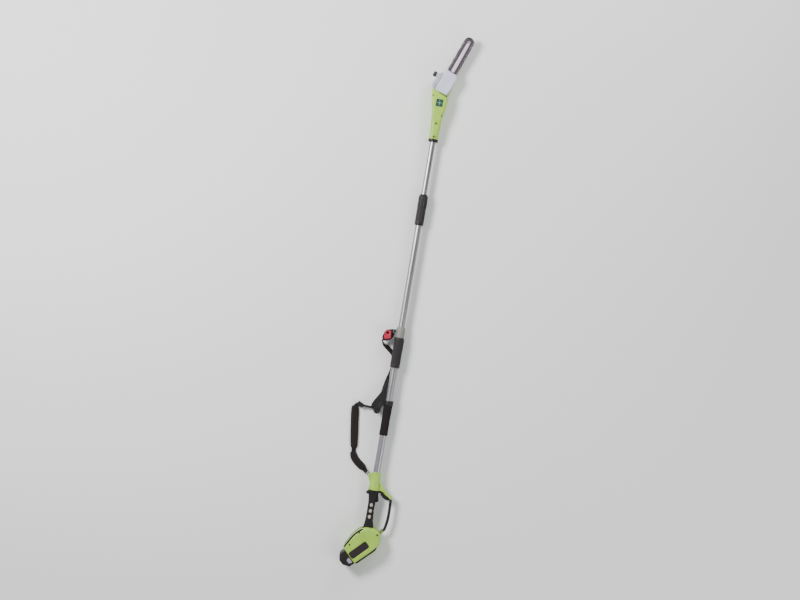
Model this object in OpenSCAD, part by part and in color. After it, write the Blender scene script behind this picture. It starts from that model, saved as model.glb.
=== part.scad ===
// Telescoping pole saw, lying on its side.
// Pole coordinates: x runs along the pole towards the bar, y to the side that faces up in use,
// z out of the right-hand side, with the pole's axis at y = 0, z = 0.
// lay() moves them to the row frame: origin under the middle of the whole tool, on the ground.

/* [Pole] */
// Outer diameter of the lower tube
lower_tube_d = 32; // [28:0.5:38]
// Wall of all three tubes
tube_wall = 1.2; // [1:0.1:2]
// Radial gap between one tube and the next
tube_gap = 0.35; // [0.2:0.05:0.6]
// Bare pole between the rear neck and the upper lock's nose, drawn out
lower_reach = 654; // [600:10:820]
// Distance from the lower lock's nose to the upper lock's tail, drawn out
middle_reach = 461; // [440:10:560]
// Distance from the upper lock to the head, drawn out
upper_reach = 249; // [245:5:320]
// Length of one tube that stays inside the next, drawn out
tube_overlap = 180; // [120:10:220]

/* [Locks and grips] */
// Length of a twist collar
collar_l = 134; // [100:2:160]
// Wall of a lock body around its tube
lock_wall = 2.2; // [1.8:0.2:3]
// Wall of a twist collar
collar_wall = 4; // [3:0.5:6]
// Length of the lower lock's nose, which carries the strap's eye
lower_nose_l = 48; // [40:2:60]
// Length of the foam grip
foam_l = 134; // [110:2:180]
// Thickness of the foam
foam_t = 3.6; // [3:0.2:6]

/* [Rear handle] */
// Length of the grip between the neck and the battery bay
grip_l = 172; // [160:2:190]
// Thickness of the grip across the hand
grip_w = 33; // [30:1:38]
// Width of the battery bay, which is what the tool lies on
bay_w = 80; // [78:1:92]
// Wall of the plastic shells
shell_wall = 3; // [2.4:0.2:4]
// How far the trigger's free end moves
trigger_travel = 8; // [5:0.5:9]
// Thickness of the hand guard's bar
guard_t = 13; // [10:1:16]

/* [Battery] */
// Length of the battery pack
pack_l = 136; // [120:2:150]
// Height of the battery pack
pack_h = 74; // [66:1:76]
// Diameter of one cell
cell_d = 18.4; // [18:0.1:19]

/* [Head] */
// Length of the green head shell along the pole
head_l = 210; // [200:5:240]
// Angle of the bar below the pole
bar_angle = 20; // [10:1:28]
// Length of the bar that shows in front of its cover
bar_reach = 172; // [150:2:250]
// Height of the guide bar
bar_h = 37; // [34:1:42]
// Thickness of the guide bar
bar_t = 4; // [3.5:0.1:4.5]
// Teeth of the motor pinion
pinion_n = 12; // [11:1:14]
// Teeth of the idler gear
idler_n = 26; // [22:1:26]
// Teeth of the output gear
output_n = 36; // [34:1:38]
// Tooth module of the gears
gear_m = 1.3; // [1.25:0.05:1.35]
// Diameter of the motor
motor_d = 40; // [36:1:41]

/* [Strap] */
// Width of the webbing
web_w = 20; // [16:1:22]
// Thickness of the webbing
web_t = 1.8; // [1.4:0.2:2.2]
// Width of the shoulder pads
pad_w = 35; // [30:1:40]
// Thickness of the shoulder pads
pad_t = 13; // [10:1:16]

/* [Hidden] */
$fn = 48;

green = "#9cc83c";
black = "#2b2829";
alloy = "#a8a5a2";
steel = "#c4c4c8";
brass = "#c8a552";
fine = 0.2;          // clearance between pieces that slot together
run = 0.05;          // radial clearance of a shaft in its bearing
chamfer = 2.5;       // edge break on collars and pads

// ---- stations along the pole
neck_x = -20;
lower_tube_x0 = neck_x - 70;
nose_x = neck_x + lower_reach;
collar_x1 = nose_x - lower_nose_l;
collar_x0 = collar_x1 - collar_l;
lower_tube_x1 = collar_x1 + 14;
upper_collar_x0 = nose_x + middle_reach;
upper_collar_x1 = upper_collar_x0 + collar_l - 4;
head_x = upper_collar_x1 + upper_reach;
middle_tube_x1 = upper_collar_x1 - 20;
middle_tube_x0 = lower_tube_x1 - tube_overlap - 70;
upper_tube_x0 = middle_tube_x1 - tube_overlap;
upper_tube_x1 = head_x + 100;
guide_l = 18;        // length of a nylon guide's collar beyond its tube
guide_plug_l = 22;   // length of a guide's plug inside its tube

// ---- diameters
middle_tube_d = lower_tube_d - 2 * (tube_wall + tube_gap);
upper_tube_d = middle_tube_d - 2 * (tube_wall + tube_gap);
foam_x0 = neck_x + 167;
foam_x1 = foam_x0 + foam_l;
hanger_x0 = foam_x1 + 1;
hanger_l = 20;

// ---- rear handle
neck_l = 80;
grip_x1 = neck_x - neck_l;
grip_x0 = grip_x1 - grip_l;
core_r = 11;
neck_r0 = lower_tube_d / 2 + 4;
neck_r1 = 26;
bay_h = bay_w / 2;
bay_dx = grip_x0 + 272;          // the bay follows the grip's rear end
panel_a0 = 228;
panel_q = [229, 263];
pack_a0 = 236;
pack_q0 = 208;
pack_q1 = pack_q0 + pack_h;
pack_w = bay_w - 2 * shell_wall - 2 * fine;
bay_end_a = 325;
trigger_pivot = [grip_x1 - 8, -15];
trigger_top = -9;                // upper face of the released trigger
trigger_arm = 42;                // from the pin to the free end
trigger_turn = asin(trigger_travel / trigger_arm);
switch_b = 26;                   // from the pin to the switch's far end
switch_y = trigger_pivot[1] + (trigger_top - trigger_pivot[1]) * cos(trigger_turn) + switch_b * sin(trigger_turn) + 0.6;
guard_y = -81;

// ---- head
head_half_z = 30;                // top of the shell above the pole's axis
head_z0 = -bay_h;                // underside, level with the battery bay
joint_b = -42;                   // where the cover meets the green shell, along the bar
cover_b1 = 62;
bar_seat_z = 5;
cover_z0 = bar_seat_z + bar_t + 4.4;
cover_z1 = head_half_z - 2;
sprocket_x = head_x + head_l - joint_b * cos(bar_angle) + 2.5;
sprocket_y = -11;
chain_w = 6.5;                   // radial height of the chain outside the bar's rail
bar_nose_b = cover_b1 + bar_reach;
bar_z = bar_seat_z + 1.4;         // the bar lies on a low boss
nose_c = bar_nose_b - bar_h / 2;
chain_r = bar_h / 2 + 0.25;
chain_out = chain_r + chain_w - 2;
gear_t = 8;
gear_z = head_z0 + 9;
motor_z0 = gear_z + gear_t + 3;
motor_l = head_half_z - shell_wall - motor_z0 - 1;
pinion_r = gear_m * pinion_n / 2;
idler_r = gear_m * idler_n / 2;
output_r = gear_m * output_n / 2;
axle_r = 4;
// gear centres in bar coordinates: the train runs back from the sprocket in a line
idler_b = -(output_r + idler_r);
motor_b = idler_b - (idler_r + pinion_r);
tank_c0 = chain_out + 6.75;       // the tank and the cover clear the chain
tank_c1 = tank_c0 + 20;
cover_c0 = -(chain_out + 9.75);
cap_b = 22;
chain_sw = 5.6;                  // width of the chain across its side links
sprocket_r = bar_h / 2 - 0.3;

module lay() translate([-(x_min + x_max) / 2, -(y_min + y_max) / 2, axis_z]) children();
// bar coordinates: b along the bar, c across it, origin on the sprocket's axis
module bar_frame() translate([sprocket_x, sprocket_y, 0]) rotate([0, 0, -bar_angle]) children();
// bay coordinates: a along the battery towards its free end, q across it
module bay_frame() translate([bay_dx, 0, 0]) rotate([0, 0, 135]) children();
// turns a shape drawn around z so that it runs along the pole from x = x0
module along_pole(x0) translate([x0, 0, 0]) rotate([0, 90, 0]) children();
module upper_half() intersection() { children(); translate([-900, -400, 0]) cube([4000, 800, 200]); }
module lower_half() intersection() { children(); translate([-900, -400, -200]) cube([4000, 800, 200]); }

// ---- outline helpers
function unit(v) = v / norm(v);
function at(list, i) = list[(i + len(list)) % len(list)];
function left_normal(a, b) = let(d = unit(b - a)) [-d[1], d[0]];
function inset(p, w) = [for (i = [0 : len(p) - 1])
    let(n1 = left_normal(at(p, i - 1), p[i]), n2 = left_normal(p[i], at(p, i + 1)))
    p[i] + w * (n1 + n2) / (1 + n1 * n2)];
function corner(p0, p1, p2, r, n) = let(
    u = unit(p0 - p1), v = unit(p2 - p1), half = acos(u * v) / 2,
    reach = min(r / tan(half), 0.48 * min(norm(p0 - p1), norm(p2 - p1))),
    rr = reach * tan(half), c = p1 + unit(u + v) * reach / cos(half),
    s = p1 + u * reach - c, e = p1 + v * reach - c,
    a0 = atan2(s[1], s[0]), turn = atan2(e[1], e[0]) - a0,
    sweep = turn > 180 ? turn - 360 : turn < -180 ? turn + 360 : turn)
    [for (k = [0 : n]) c + rr * [cos(a0 + sweep * k / n), sin(a0 + sweep * k / n)]];
function rounded(p, r, n = 5) = [for (i = [0 : len(p) - 1])
    each corner(at(p, i - 1), p[i], at(p, i + 1), r, n)];

module slab(points, z0, z1) translate([0, 0, z0]) linear_extrude(z1 - z0) polygon(points);
module ring(r_out, r_in, l) difference() { cylinder(h = l, r = r_out); translate([0, 0, -1])
    cylinder(h = l + 2, r = r_in); }

// =================================================================== pole
module tube(x0, x1, d) along_pole(x0) ring(d / 2, d / 2 - tube_wall, x1 - x0);
module lower_tube() color(alloy) lay() tube(lower_tube_x0, lower_tube_x1, lower_tube_d);
module middle_tube() color(alloy) lay() tube(middle_tube_x0, middle_tube_x1, middle_tube_d);
module upper_tube() color(alloy) lay() tube(upper_tube_x0, upper_tube_x1, upper_tube_d);

// nylon guide: a plug in the end of the sliding tube and a collar that runs in the outer tube
module guide(x0, d) color("white") lay() along_pole(x0 - guide_l) difference() {
    union() {
        cylinder(h = guide_l, r = d / 2 + tube_gap - run * 2);
        cylinder(h = guide_l + guide_plug_l, r = d / 2 - tube_wall);
    }
    translate([0, 0, -1]) cylinder(h = guide_l + guide_plug_l + 2, r = d / 2 - tube_wall - 2.4);
}
module middle_guide() guide(middle_tube_x0, middle_tube_d);
module upper_guide() guide(upper_tube_x0, upper_tube_d);

// soft foam sleeve with rounded ends
module foam_grip() color(black) lay() along_pole(foam_x0) rotate_extrude() {
    r0 = lower_tube_d / 2;
    polygon([[r0, 0], [r0 + foam_t - 1.2, 0], [r0 + foam_t, 1.6], [r0 + foam_t, foam_l - 1.6],
        [r0 + foam_t - 1.2, foam_l], [r0, foam_l]]);
}

// lock body: fixed on the outer tube's end; the inner tube runs through its nose
module lock_body(x0, x1, outer_d, tube_end, inner_d, nose_r, nose_l) {
    r = outer_d / 2 + lock_wall;
    difference() {
        union() {
            along_pole(x0 + 3) cylinder(h = x1 - x0 - 3, r = r);
            along_pole(x1) rotate_extrude()
                polygon([[0, 0], [nose_r, 0], [nose_r, nose_l - 2], [nose_r - 2, nose_l], [0, nose_l]]);
            along_pole(x0 - 3.5) cylinder(h = 3, r = r + 1.2);
            along_pole(x0 - 1) cylinder(h = 5, r = r);
        }
        along_pole(x0 - 10) cylinder(h = tube_end - x0 + 10, r = outer_d / 2);
        along_pole(x0) cylinder(h = x1 + nose_l, r = inner_d / 2 + tube_gap);
    }
}
// twist collar: ribbed sleeve that turns on the lock body
module collar(x0, x1, outer_d, ribs) {
    r0 = outer_d / 2 + lock_wall + fine;
    r1 = r0 + collar_wall;
    l = x1 - x0 - 0.6;
    difference() {
        along_pole(x0) rotate_extrude() polygon([[r0, 0], [r1 - 1.6, 0], [r1 - 0.6, chamfer], [r1 - 0.6,
        l * 0.55],
            [r1, l * 0.62], [r1, l - chamfer * 1.6], [r1 - 1.8, l], [r0, l]]);
        for (k = [0 : ribs - 1]) rotate([k * 360 / ribs, 0, 0]) translate([x0 + 14, 0, r1 + 0.9])
            rotate([0, 90, 0]) cylinder(h = l - 28, r = 1.9, $fn = 24);
    }
}
module lower_lock_body() color("#8f8a84") lay() difference() {
    union() {
        lock_body(collar_x0, collar_x1, lower_tube_d, lower_tube_x1, middle_tube_d, 19.5, lower_nose_l);
        difference() {
            slab(rounded([front_eye + [-12, -15], front_eye + [12, -15], front_eye + [7, 6.5],
            front_eye + [-7, 6.5]], 4), -4, 4);
            along_pole(0) cylinder(h = 3000, r = 18);
        }
    }
    translate([front_eye[0], front_eye[1], -10]) cylinder(h = 20, r = 3.2);
}
module lower_collar() color(black) lay() collar(collar_x0, collar_x1, lower_tube_d, 18);
module upper_lock_body() color(black) lay()
    lock_body(upper_collar_x0, upper_collar_x1, middle_tube_d, middle_tube_x1, upper_tube_d, 17.5, 4);
module upper_collar() color(black) lay() collar(upper_collar_x0, upper_collar_x1, middle_tube_d, 16);

// power lead inside the pole: wound so that it stretches with the pole
cable_x0 = lower_tube_x0 + 20;
cable_x1 = middle_tube_x0 - guide_l - 12;
module coiled_cable() color("#3a3a3a") lay() along_pole(cable_x0) ring(8, 4, cable_x1 - cable_x0);

// =================================================================== strap fittings on the pole
front_eye = [nose_x - 22, 27];
knob_at = [hanger_x0 - 30, 46];
guide_at = [hanger_x0 + 3, 34];      // middle of the slot that the webbing runs through
guide_z = -16;
guide_turn = 155;                    // direction of the webbing through the slot
module hanger_bracket() color(black) lay() difference() {
    union() {
        along_pole(hanger_x0) cylinder(h = hanger_l, r = lower_tube_d / 2 + 4);
        slab(rounded([[hanger_x0 + 1, 12], [hanger_x0 + hanger_l - 1, 12], [hanger_x0 + hanger_l - 4, 36],
            [knob_at[0] + 8, knob_at[1] + 9], [knob_at[0] - 8, knob_at[1] + 9], [knob_at[0] - 8,
            knob_at[1] - 9],
            [hanger_x0 - 8, 26]], 4), -5, 5);
        translate([guide_at[0], guide_at[1], 0]) rotate([0, 0, guide_turn])
            translate([-4, -4.5, guide_z - 14]) cube([8, 9, 25]);
    }
    along_pole(hanger_x0 - 1) cylinder(h = hanger_l + 2, r = lower_tube_d / 2);
    along_pole(foam_x0 - 1) cylinder(h = foam_l + 1.5, r = lower_tube_d / 2 + foam_t + 0.5);
    translate([knob_at[0], knob_at[1], -10]) cylinder(h = 20, r = 3);
    translate([guide_at[0], guide_at[1], guide_z]) rotate([0, 0, guide_turn])
        cube([20, web_t + 1.6, web_w + 1], center = true);
}
// round hand knob on a steel stud that clamps the bracket
knob_lobes = 10;
module hanger_knob() color(black) lay() translate([knob_at[0], knob_at[1], 0]) difference() {
    union() {
        translate([0, 0, 5.2]) rotate_extrude()
            polygon([[0, 0], [9, 0], [16, 3], [16, 9], [13.5, 12], [7, 12], [6, 9.5], [0, 9.5]]);
        translate([0, 0, -7]) cylinder(h = 13, r = 3 - run);
    }
    for (k = [0 : knob_lobes - 1]) rotate([0, 0, k * 360 / knob_lobes]) translate([17.6, 0, 0])
        cylinder(h = 30, r = 3);
}
// clevis on the lock's eye; the red tab sits in its cradle and pulls out to let the strap go
buckle_z = 11;
module strap_buckle() color(black) lay() {
    buckle_body();
    // pin through the eye
    translate([front_eye[0], front_eye[1], -buckle_z]) cylinder(h = 2 * buckle_z, r = 3.2 - run);
}
module buckle_body() {
    // plate under the eye and the tab
    slab(rounded([front_eye + [7, -6], front_eye + [8, 6], front_eye + [2, 32], front_eye + [-8, 44],
        front_eye + [-36, 50],
        front_eye + [-51, 46], front_eye + [-48, 24], front_eye + [-36, 6], front_eye + [-6, -6]], 3),
        -buckle_z, -4.4);
    // cup round the tab's lower corner
    slab([front_eye + [-36, 6], front_eye + [-36, 10], front_eye + [-41.5, 28], front_eye + [-43, 43.5],
        front_eye + [-22, 44.5],
        front_eye + [-22, 48], front_eye + [-36, 50], front_eye + [-51, 46], front_eye + [-48, 24]], -5, 8);
    translate([front_eye[0], front_eye[1], 4.4]) cylinder(h = 4, r = 5.6);
}
tab_outline = [front_eye + [-35, 10.5], front_eye + [-4, 14], front_eye + [3, 34], front_eye + [-8, 43],
    front_eye + [-42, 43],
    front_eye + [-41, 28]];
module release_tab() color("#a01c30") lay() difference() {
    slab(rounded(tab_outline, 3), -4.2, 8.6);
    translate([front_eye[0] - 12, front_eye[1] + 29, -20]) cylinder(h = 40, r = 6);
}

// =================================================================== rear handle
neck_profile = [[0, neck_x], [neck_r0 - 1.5, neck_x], [neck_r0, neck_x - 2], [neck_r0 + 2, neck_x - 44],
    [neck_r1, grip_x1 + 6], [neck_r1, grip_x1], [0, grip_x1]];
rear_eye = [neck_x - 18, 28];
module neck_solid(grow) rotate([0, 90, 0]) rotate_extrude()
    polygon([for (p = neck_profile) [p[0] + (p[0] > 0 ? grow : 0), p[1]]]);
bay_outline = [[-268, -34], [-272, 24], [-303, 57], [-367, 93], [-433, 26], [-368, -37], [-352, -58],
    [-318, -66],
    [-280, -56]];
function shifted(p) = [for (q = p) q + [bay_dx, 0]];
// bridge between the neck and the top of the guard, which also shades the trigger
horn = [[grip_x1 + 38, -14], [grip_x1 + 38, -22], [grip_x1 - 4, -62], [grip_x1 - 14, -84], [grip_x1 - 29,
    -86],
    [grip_x1 - 29, -74], [grip_x1 - 16, -56], [grip_x1 - 0.2, -40], [grip_x1 - 0.2, -16]];

module rear_body() {
    difference() {
        union() {
            // neck around the pole
            neck_solid(0);
            // strap eye
            slab(rounded([rear_eye + [-34, -14], rear_eye + [14, -14], rear_eye + [8, 4], rear_eye + [0, 8],
                rear_eye + [-10, 6], rear_eye + [-34, -6]], 5), -4, 4);
            // grip's core
            along_pole(grip_x0 - 2) cylinder(h = grip_l + 4, r = core_r);
            slab(rounded(horn, 3), -9, 9);
            // battery bay, with its outer edges stepped in twice
            slab(rounded(shifted(bay_outline), 14), -bay_h + 7, bay_h - 7);
            slab(rounded(inset(shifted(bay_outline), 2.5), 12), -bay_h + 2.4, bay_h - 2.4);
            slab(rounded(inset(shifted(bay_outline), 7), 9), -bay_h, bay_h);
        }
        along_pole(lower_tube_x0) cylinder(h = 400, r = lower_tube_d / 2);
        // wiring way down the grip
        along_pole(grip_x0 - 20) cylinder(h = lower_tube_x0 - grip_x0 + 21, r = core_r - shell_wall);
        translate([rear_eye[0], rear_eye[1], -10]) cylinder(h = 20, r = 3.2);
        bay_frame() {
            // pocket that the battery slides into
            translate([pack_a0 - fine, pack_q0 - fine, -pack_w / 2 - fine])
                cube([200, pack_h + 2 * fine, pack_w + 2 * fine]);
            // room for the terminals and the control board
            translate([178, pack_q0 + 2, -28]) cube([pack_a0 - 178 - shell_wall, 50, 56]);
            translate([pack_a0 - 10, pack_q0 + 16, -14]) cube([20, 30, 28]);
            // side windows that the black panels fill
            slab(rounded(panel_outline, 9), -60, 60);
        }
        // guard ends
        guard_sockets();
        // trigger and lock button wells
        trigger_well();
        lock_well();
        screw_holes(rear_screws_at);
    }
}
panel_outline = [[panel_a0, panel_q[0]], [bay_end_a + 30, panel_q[0]], [bay_end_a + 30, panel_q[1]],
    [panel_a0, panel_q[1]]];
module trigger_well() translate([grip_x1 - 54, -31, -7]) cube([52, 32, 14]);
module lock_well() translate([grip_x1 - 22, 2, -5]) cube([18, 40, 10]);
module rear_shell_left() color(green) lay() lower_half() rear_body();
module rear_shell_right() color(green) lay() upper_half() rear_body();

// each screw: place, height of its head's top, length
rear_screws_at = [[neck_x - 10, 0, neck_r0 + 0.2, 3.4], [neck_x - 56, -20, 12.5, 11], [bay_dx - 292, 32,
    bay_h - 1, 14],
    [bay_dx - 290, -48, bay_h - 1, 14], [bay_dx - 352, 66, bay_h - 1, 14]];
module screw_holes(list) for (s = list) translate([s[0], s[1], s[2]]) {
    translate([0, 0, -screw_head_h]) cylinder(h = 60, r = screw_head_r + fine);
    translate([0, 0, -s[3]]) cylinder(h = 20, r = screw_r);
}
module screws(list) for (s = list) translate([s[0], s[1], s[2]]) difference() {
    union() {
        translate([0, 0, -screw_head_h]) cylinder(h = screw_head_h, r = screw_head_r);
        translate([0, 0, -s[3]]) cylinder(h = s[3], r = screw_r);
    }
    translate([0, 0, -1.4]) cylinder(h = 2, r = screw_head_r * 0.5, $fn = 6);
}
screw_head_r = 3.6;
screw_head_h = 2.6;
screw_r = 1.7;
module rear_screws() color("#2e4a3c") lay() screws(rear_screws_at);

// black soft cover over the grip, in two halves
grip_outline = [[grip_x1 - 0.3, -26], [grip_x1 - 0.3, 24], [grip_x1 - 10, 27], [grip_x1 - 24,
    grip_w / 2 + 3],
    [grip_x1 - 55, grip_w / 2 - 0.5], [grip_x1 - 105, grip_w / 2 - 1], [grip_x1 - 138, grip_w / 2 + 1.5],
    [grip_x0 - 3, 25], [grip_x0 + 4, -5], [grip_x0 - 1, -34], [grip_x0 + 16, -25], [grip_x0 + 43,
        -grip_w / 2 - 2],
    [grip_x0 + 75, -grip_w / 2 + 1], [grip_x1 - 53, -grip_w / 2], [grip_x1 - 26, -grip_w / 2 - 2]];
module grip_cover() color(black) lay() difference() {
    union() {
        slab(rounded(grip_outline, 5), -grip_w / 2 + 5, grip_w / 2 - 5);
        slab(rounded(inset(grip_outline, 1.6), 5), -grip_w / 2 + 2, grip_w / 2 - 2);
        slab(rounded(inset(grip_outline, 4.5), 5), -grip_w / 2, grip_w / 2);
    }
    along_pole(grip_x0 - 10) cylinder(h = grip_l + 20, r = core_r);
    slab(rounded(shifted(bay_outline), 14), -100, 100);
    slab(rounded(horn, 3), -9.2, 9.2);
    neck_solid(fine);
    trigger_well();
    lock_well();
    for (x = insert_x) for (side = [-1, 1]) translate([x, 0, side * (grip_w / 2 - 0.5)])
        linear_extrude(6, center = true) insert_shape(0.1);
}
insert_x = [for (k = [0 : 2]) grip_x1 - 64 - 26.5 * k];
module insert_shape(grow) translate([-1, 0]) polygon([for (t = [0 : 15 : 345])
    [(8 + grow) * cos(t), (6.4 + grow) * sin(t)]]);
module grip_inserts() color("#b9b6a2") lay() for (x = insert_x) for (side = [0, 1]) mirror([0, 0, side])
    translate([x, 0, grip_w / 2 - 3.4]) linear_extrude(4) insert_shape(0);

guard_half_z = 8;
// the guard's ends sit in square sockets
module guard_sockets() {
    translate([grip_x1 - 40, guard_y - 9, -20]) cube([26, 18, 40]);
    translate([grip_x0 - 12, guard_y + 15, -20]) cube([24, 16, 40]);
}
// bar of the hand guard, swept between the horn and the bay
guard_path = [[grip_x1 - 20, -79], [grip_x1 - 36, guard_y - 1], [grip_x1 - 95, guard_y - 2],
    [grip_x0 + 12, guard_y + 5], [grip_x0 - 6, -58]];
function path_side(p, w) = [for (i = [0 : len(p) - 1])
    let(n1 = left_normal(p[max(i, 1) - 1], p[max(i, 1)]), j = min(i, len(p) - 2), n2 = left_normal(p[j],
        p[j + 1]))
    p[i] + w * (n1 + n2) / (1 + n1 * n2)];
function reversed(p) = [for (i = [len(p) - 1 : -1 : 0]) p[i]];
guard_outline = concat(path_side(guard_path, guard_t / 2), reversed(path_side(guard_path, -guard_t / 2)));
module hand_guard() color(black) lay() slab(rounded(guard_outline, 5), -guard_half_z, guard_half_z);

module side_panels() color("#3a3634") lay() bay_frame() for (side = [0, 1]) mirror([0, 0, side]) {
    slab(rounded(inset(inner_panel, fine), 8.5), bay_h - shell_wall, bay_h - 0.8);
    for (k = [0 : 4]) translate([panel_a0 + 18 + 14 * k, panel_q[0] + 5, bay_h - 0.8])
        cube([4, panel_q[1] - panel_q[0] - 10, 0.7]);
}
inner_panel = [[panel_a0, panel_q[0]], [bay_end_a - 2, panel_q[0]], [bay_end_a - 2, panel_q[1]],
    [panel_a0, panel_q[1]]];

module battery_terminals() color(brass) lay() bay_frame() {
    difference() {
        translate([pack_a0 - 10 + fine, pack_q0 + 17, -13]) cube([9, 28, 26]);
        for (k = [-1, 0, 1]) translate([pack_a0 - 6, pack_q0 + 20, k * 8 - 1]) cube([10, 22, 2]);
    }
}
module control_board() color("darkgreen") lay() bay_frame() translate([186, pack_q0 + 8, -26]) {
    cube([1.6, 40, 52]);
    translate([1.6, 6, 8]) cube([12, 14, 14]);
    translate([1.6, 24, 30]) cylinder(h = 14, r = 6);
}
module trigger_switch() color("#555555") lay() translate([trigger_pivot[0] - switch_b, switch_y, -6])
    cube([20, 0.8 - switch_y, 12]);
module trigger_spring() color(steel) lay() translate([grip_x1 - 44, 0.8, 0]) rotate([90, 0, 0])
    ring(2.6, 1.8, 9.6);

trigger_shape = [[grip_x1 - 4, trigger_top], [grip_x1 - 50, trigger_top], [grip_x1 - 51, -20],
    [grip_x1 - 46, -29],
    [grip_x1 - 30, -26], [grip_x1 - 16, -22], [grip_x1 - 4, -22]];
module trigger() color("#262324") lay() difference() {
    slab(rounded(trigger_shape, 3), -6, 6);
    translate([trigger_pivot[0], trigger_pivot[1], -10]) cylinder(h = 20, r = 1.5);
}
module lock_button() color("#262324") lay() slab(rounded([[grip_x1 - 20, 13], [grip_x1 - 6, 13],
    [grip_x1 - 6, 29], [grip_x1 - 12, 33],
    [grip_x1 - 20, 30]], 2.5), -4.4, 4.4);

// =================================================================== battery
pack_outline = [[pack_a0, pack_q0], [pack_a0 + pack_l - 18, pack_q0], [pack_a0 + pack_l, pack_q0 + 24],
    [pack_a0 + pack_l, pack_q0 + 48], [pack_a0 + pack_l - 20, pack_q1], [pack_a0, pack_q1]];
module battery_case() color(black) lay() bay_frame() difference() {
    union() {
        slab(rounded(pack_outline, 4), -pack_w / 2 + 5, pack_w / 2 - 5);
        slab(rounded(inset(pack_outline, 1.5), 4), -pack_w / 2 + 1.5, pack_w / 2 - 1.5);
        slab(rounded(inset(pack_outline, 4), 4), -pack_w / 2, pack_w / 2);
    }
    slab(inset(pack_outline, 2.6), -pack_w / 2 + 2.6, pack_w / 2 - 2.6);
    for (k = [-1, 0, 1]) translate([pack_a0 - 1, pack_q0 + 19, k * 8 - 1.2]) cube([8, 24, 2.4]);
    latch_well();
}
cell_pitch = cell_d + 0.4;
module battery_cells() color("#5a7fa8") lay() bay_frame() for (i = [0 : 4]) for (j = [0, 1])
    translate([pack_a0 + 15 + i * cell_pitch, pack_q0 + 22 + j * (cell_pitch + 1), -32.5])
        cylinder(h = 65, r = cell_d / 2);
module latch_well() translate([pack_a0 + pack_l - 12, pack_q0 + 27, -14]) cube([20, 18, 28]);
module battery_latch() color("#6d8f2c") lay() bay_frame()
    slab(rounded([[pack_a0 + pack_l - 8, pack_q0 + 28], [pack_a0 + pack_l + 2.4, pack_q0 + 28],
        [pack_a0 + pack_l + 2.4, pack_q0 + 44], [pack_a0 + pack_l - 8, pack_q0 + 44]], 1.5), -13, 13);

// =================================================================== head
function hx(dx, y) = [head_x + dx, y];
head_outline = [hx(0, -18), hx(40, -21), hx(100, -24), hx(145, -32), hx(head_l - 8, -33), hx(head_l + 14,
    38),
    hx(head_l - 12, 40), hx(150, 29), hx(80, 23), hx(0, 18)];
// height of the shell along the pole
head_rise = [hx(0, -19), hx(50, -21), hx(105, -28), hx(head_l + 60, -28), hx(head_l + 60, head_half_z),
    hx(125, head_half_z),
    hx(50, 22), hx(0, 19)];
// floor under the cover and round the gears, in bar coordinates
chassis = [[joint_b - 2, -36], [cover_b1 - 34, -34], [cover_b1 - 4, -27], [cover_b1 - 4, 26],
    [cover_b1 - 20, tank_c0 - 1],
    [joint_b - 2, tank_c0 - 1]];
gearbox = [[motor_b - 17, -24], [20, -31], [36, -14], [36, 14], [20, tank_c0 - 1], [motor_b - 17, 24]];
function tip_r(n) = gear_m * n / 2 + gear_m;
module gear_room() {
    translate([0, 0, gear_z - 2]) cylinder(h = gear_t + 3, r = tip_r(output_n) + 0.8);
    translate([idler_b, 0, gear_z - 2]) cylinder(h = gear_t + 3, r = tip_r(idler_n) + 0.8);
    translate([motor_b, 0, gear_z - 2]) cylinder(h = gear_t + 3, r = tip_r(pinion_n) + 0.8);
    slab(inset(plate_outline, -fine), gear_z - 2, gear_z + 1);
}
plate_outline = [[motor_b - 6, -6], [idler_b - 4, -15], [-12, -20], [12, -20], [12, 20], [-12, 20],
    [idler_b - 4, 15],
    [motor_b - 6, 6]];
module head_body() difference() {
    union() {
        intersection() {
            union() {
                slab(rounded(head_outline, 6), -24, head_half_z - 4);
                slab(rounded(inset(head_outline, 2.4), 5), -26, head_half_z - 1);
                slab(rounded(inset(head_outline, 5), 4), -27, head_half_z);
            }
            translate([0, 60, 0]) rotate([90, 0, 0]) linear_extrude(120) polygon(head_rise);
        }
        bar_frame() slab(rounded(gearbox, 10), head_z0, -20);
        bar_frame() slab(rounded(chassis, 6), -22.6, bar_seat_z);
    }
    // step for the neck ring
    along_pole(head_x - 1) ring(40, neck_ring_r, 10);
    // space for the cover and the bar in front of the joint
    bar_frame() translate([joint_b, -80, bar_seat_z]) cube([200, 160, 80]);
    along_pole(head_x - 1) cylinder(h = 101, r = upper_tube_d / 2);
    // room behind the motor for wiring
    slab(rounded([hx(106, -15), hx(140, -19), hx(162, -19), hx(162, 22), hx(140, 20), hx(106, 15)], 4), -20,
        head_half_z - shell_wall - 3);
    bar_frame() {
        translate([motor_b, 0, motor_z0 - 1]) cylinder(h = motor_l + 2, r = motor_d / 2 + fine);
        gear_room();
        translate([0, 0, gear_z]) cylinder(h = 80, r = bearing_r);
        translate([motor_b, 0, gear_z]) cylinder(h = 20, r = 6);
        translate([idler_b, 0, gear_z]) cylinder(h = gear_t + 5, r = 3 + run);
        // bar bolts, pump and tension screw
        for (b = stud_b) translate([b, 0, -14]) cylinder(h = 40, r = stud_r);
        slab(inset(pump_outline, -fine), -15, bar_seat_z + 1);
        tension_cut();
    }
    screw_holes(head_screws_at);
    vent_cut();
}
module bar_boss() bar_frame() difference() {
    slab([[22, -9], [54, -9], [54, 9], [22, 9]], bar_seat_z - 0.1, bar_z - run);
    for (b = stud_b) translate([b, 0, 0]) cylinder(h = 20, r = stud_r);
}
bearing_r = 9;
stud_r = 4;
neck_ring_r = 17.4;
pump_outline = [[12, 16.4], [31, 16.4], [31, 25.6], [12, 25.6]];
stud_b = [28, 46];
module head_shell_left() color(green) lay() lower_half() head_body();
module head_shell_right() color(green) lay() {
    upper_half() head_body();
    bar_boss();
}
module neck_ring() color(black) lay() along_pole(head_x - 1) ring(20, neck_ring_r, 10);

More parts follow.
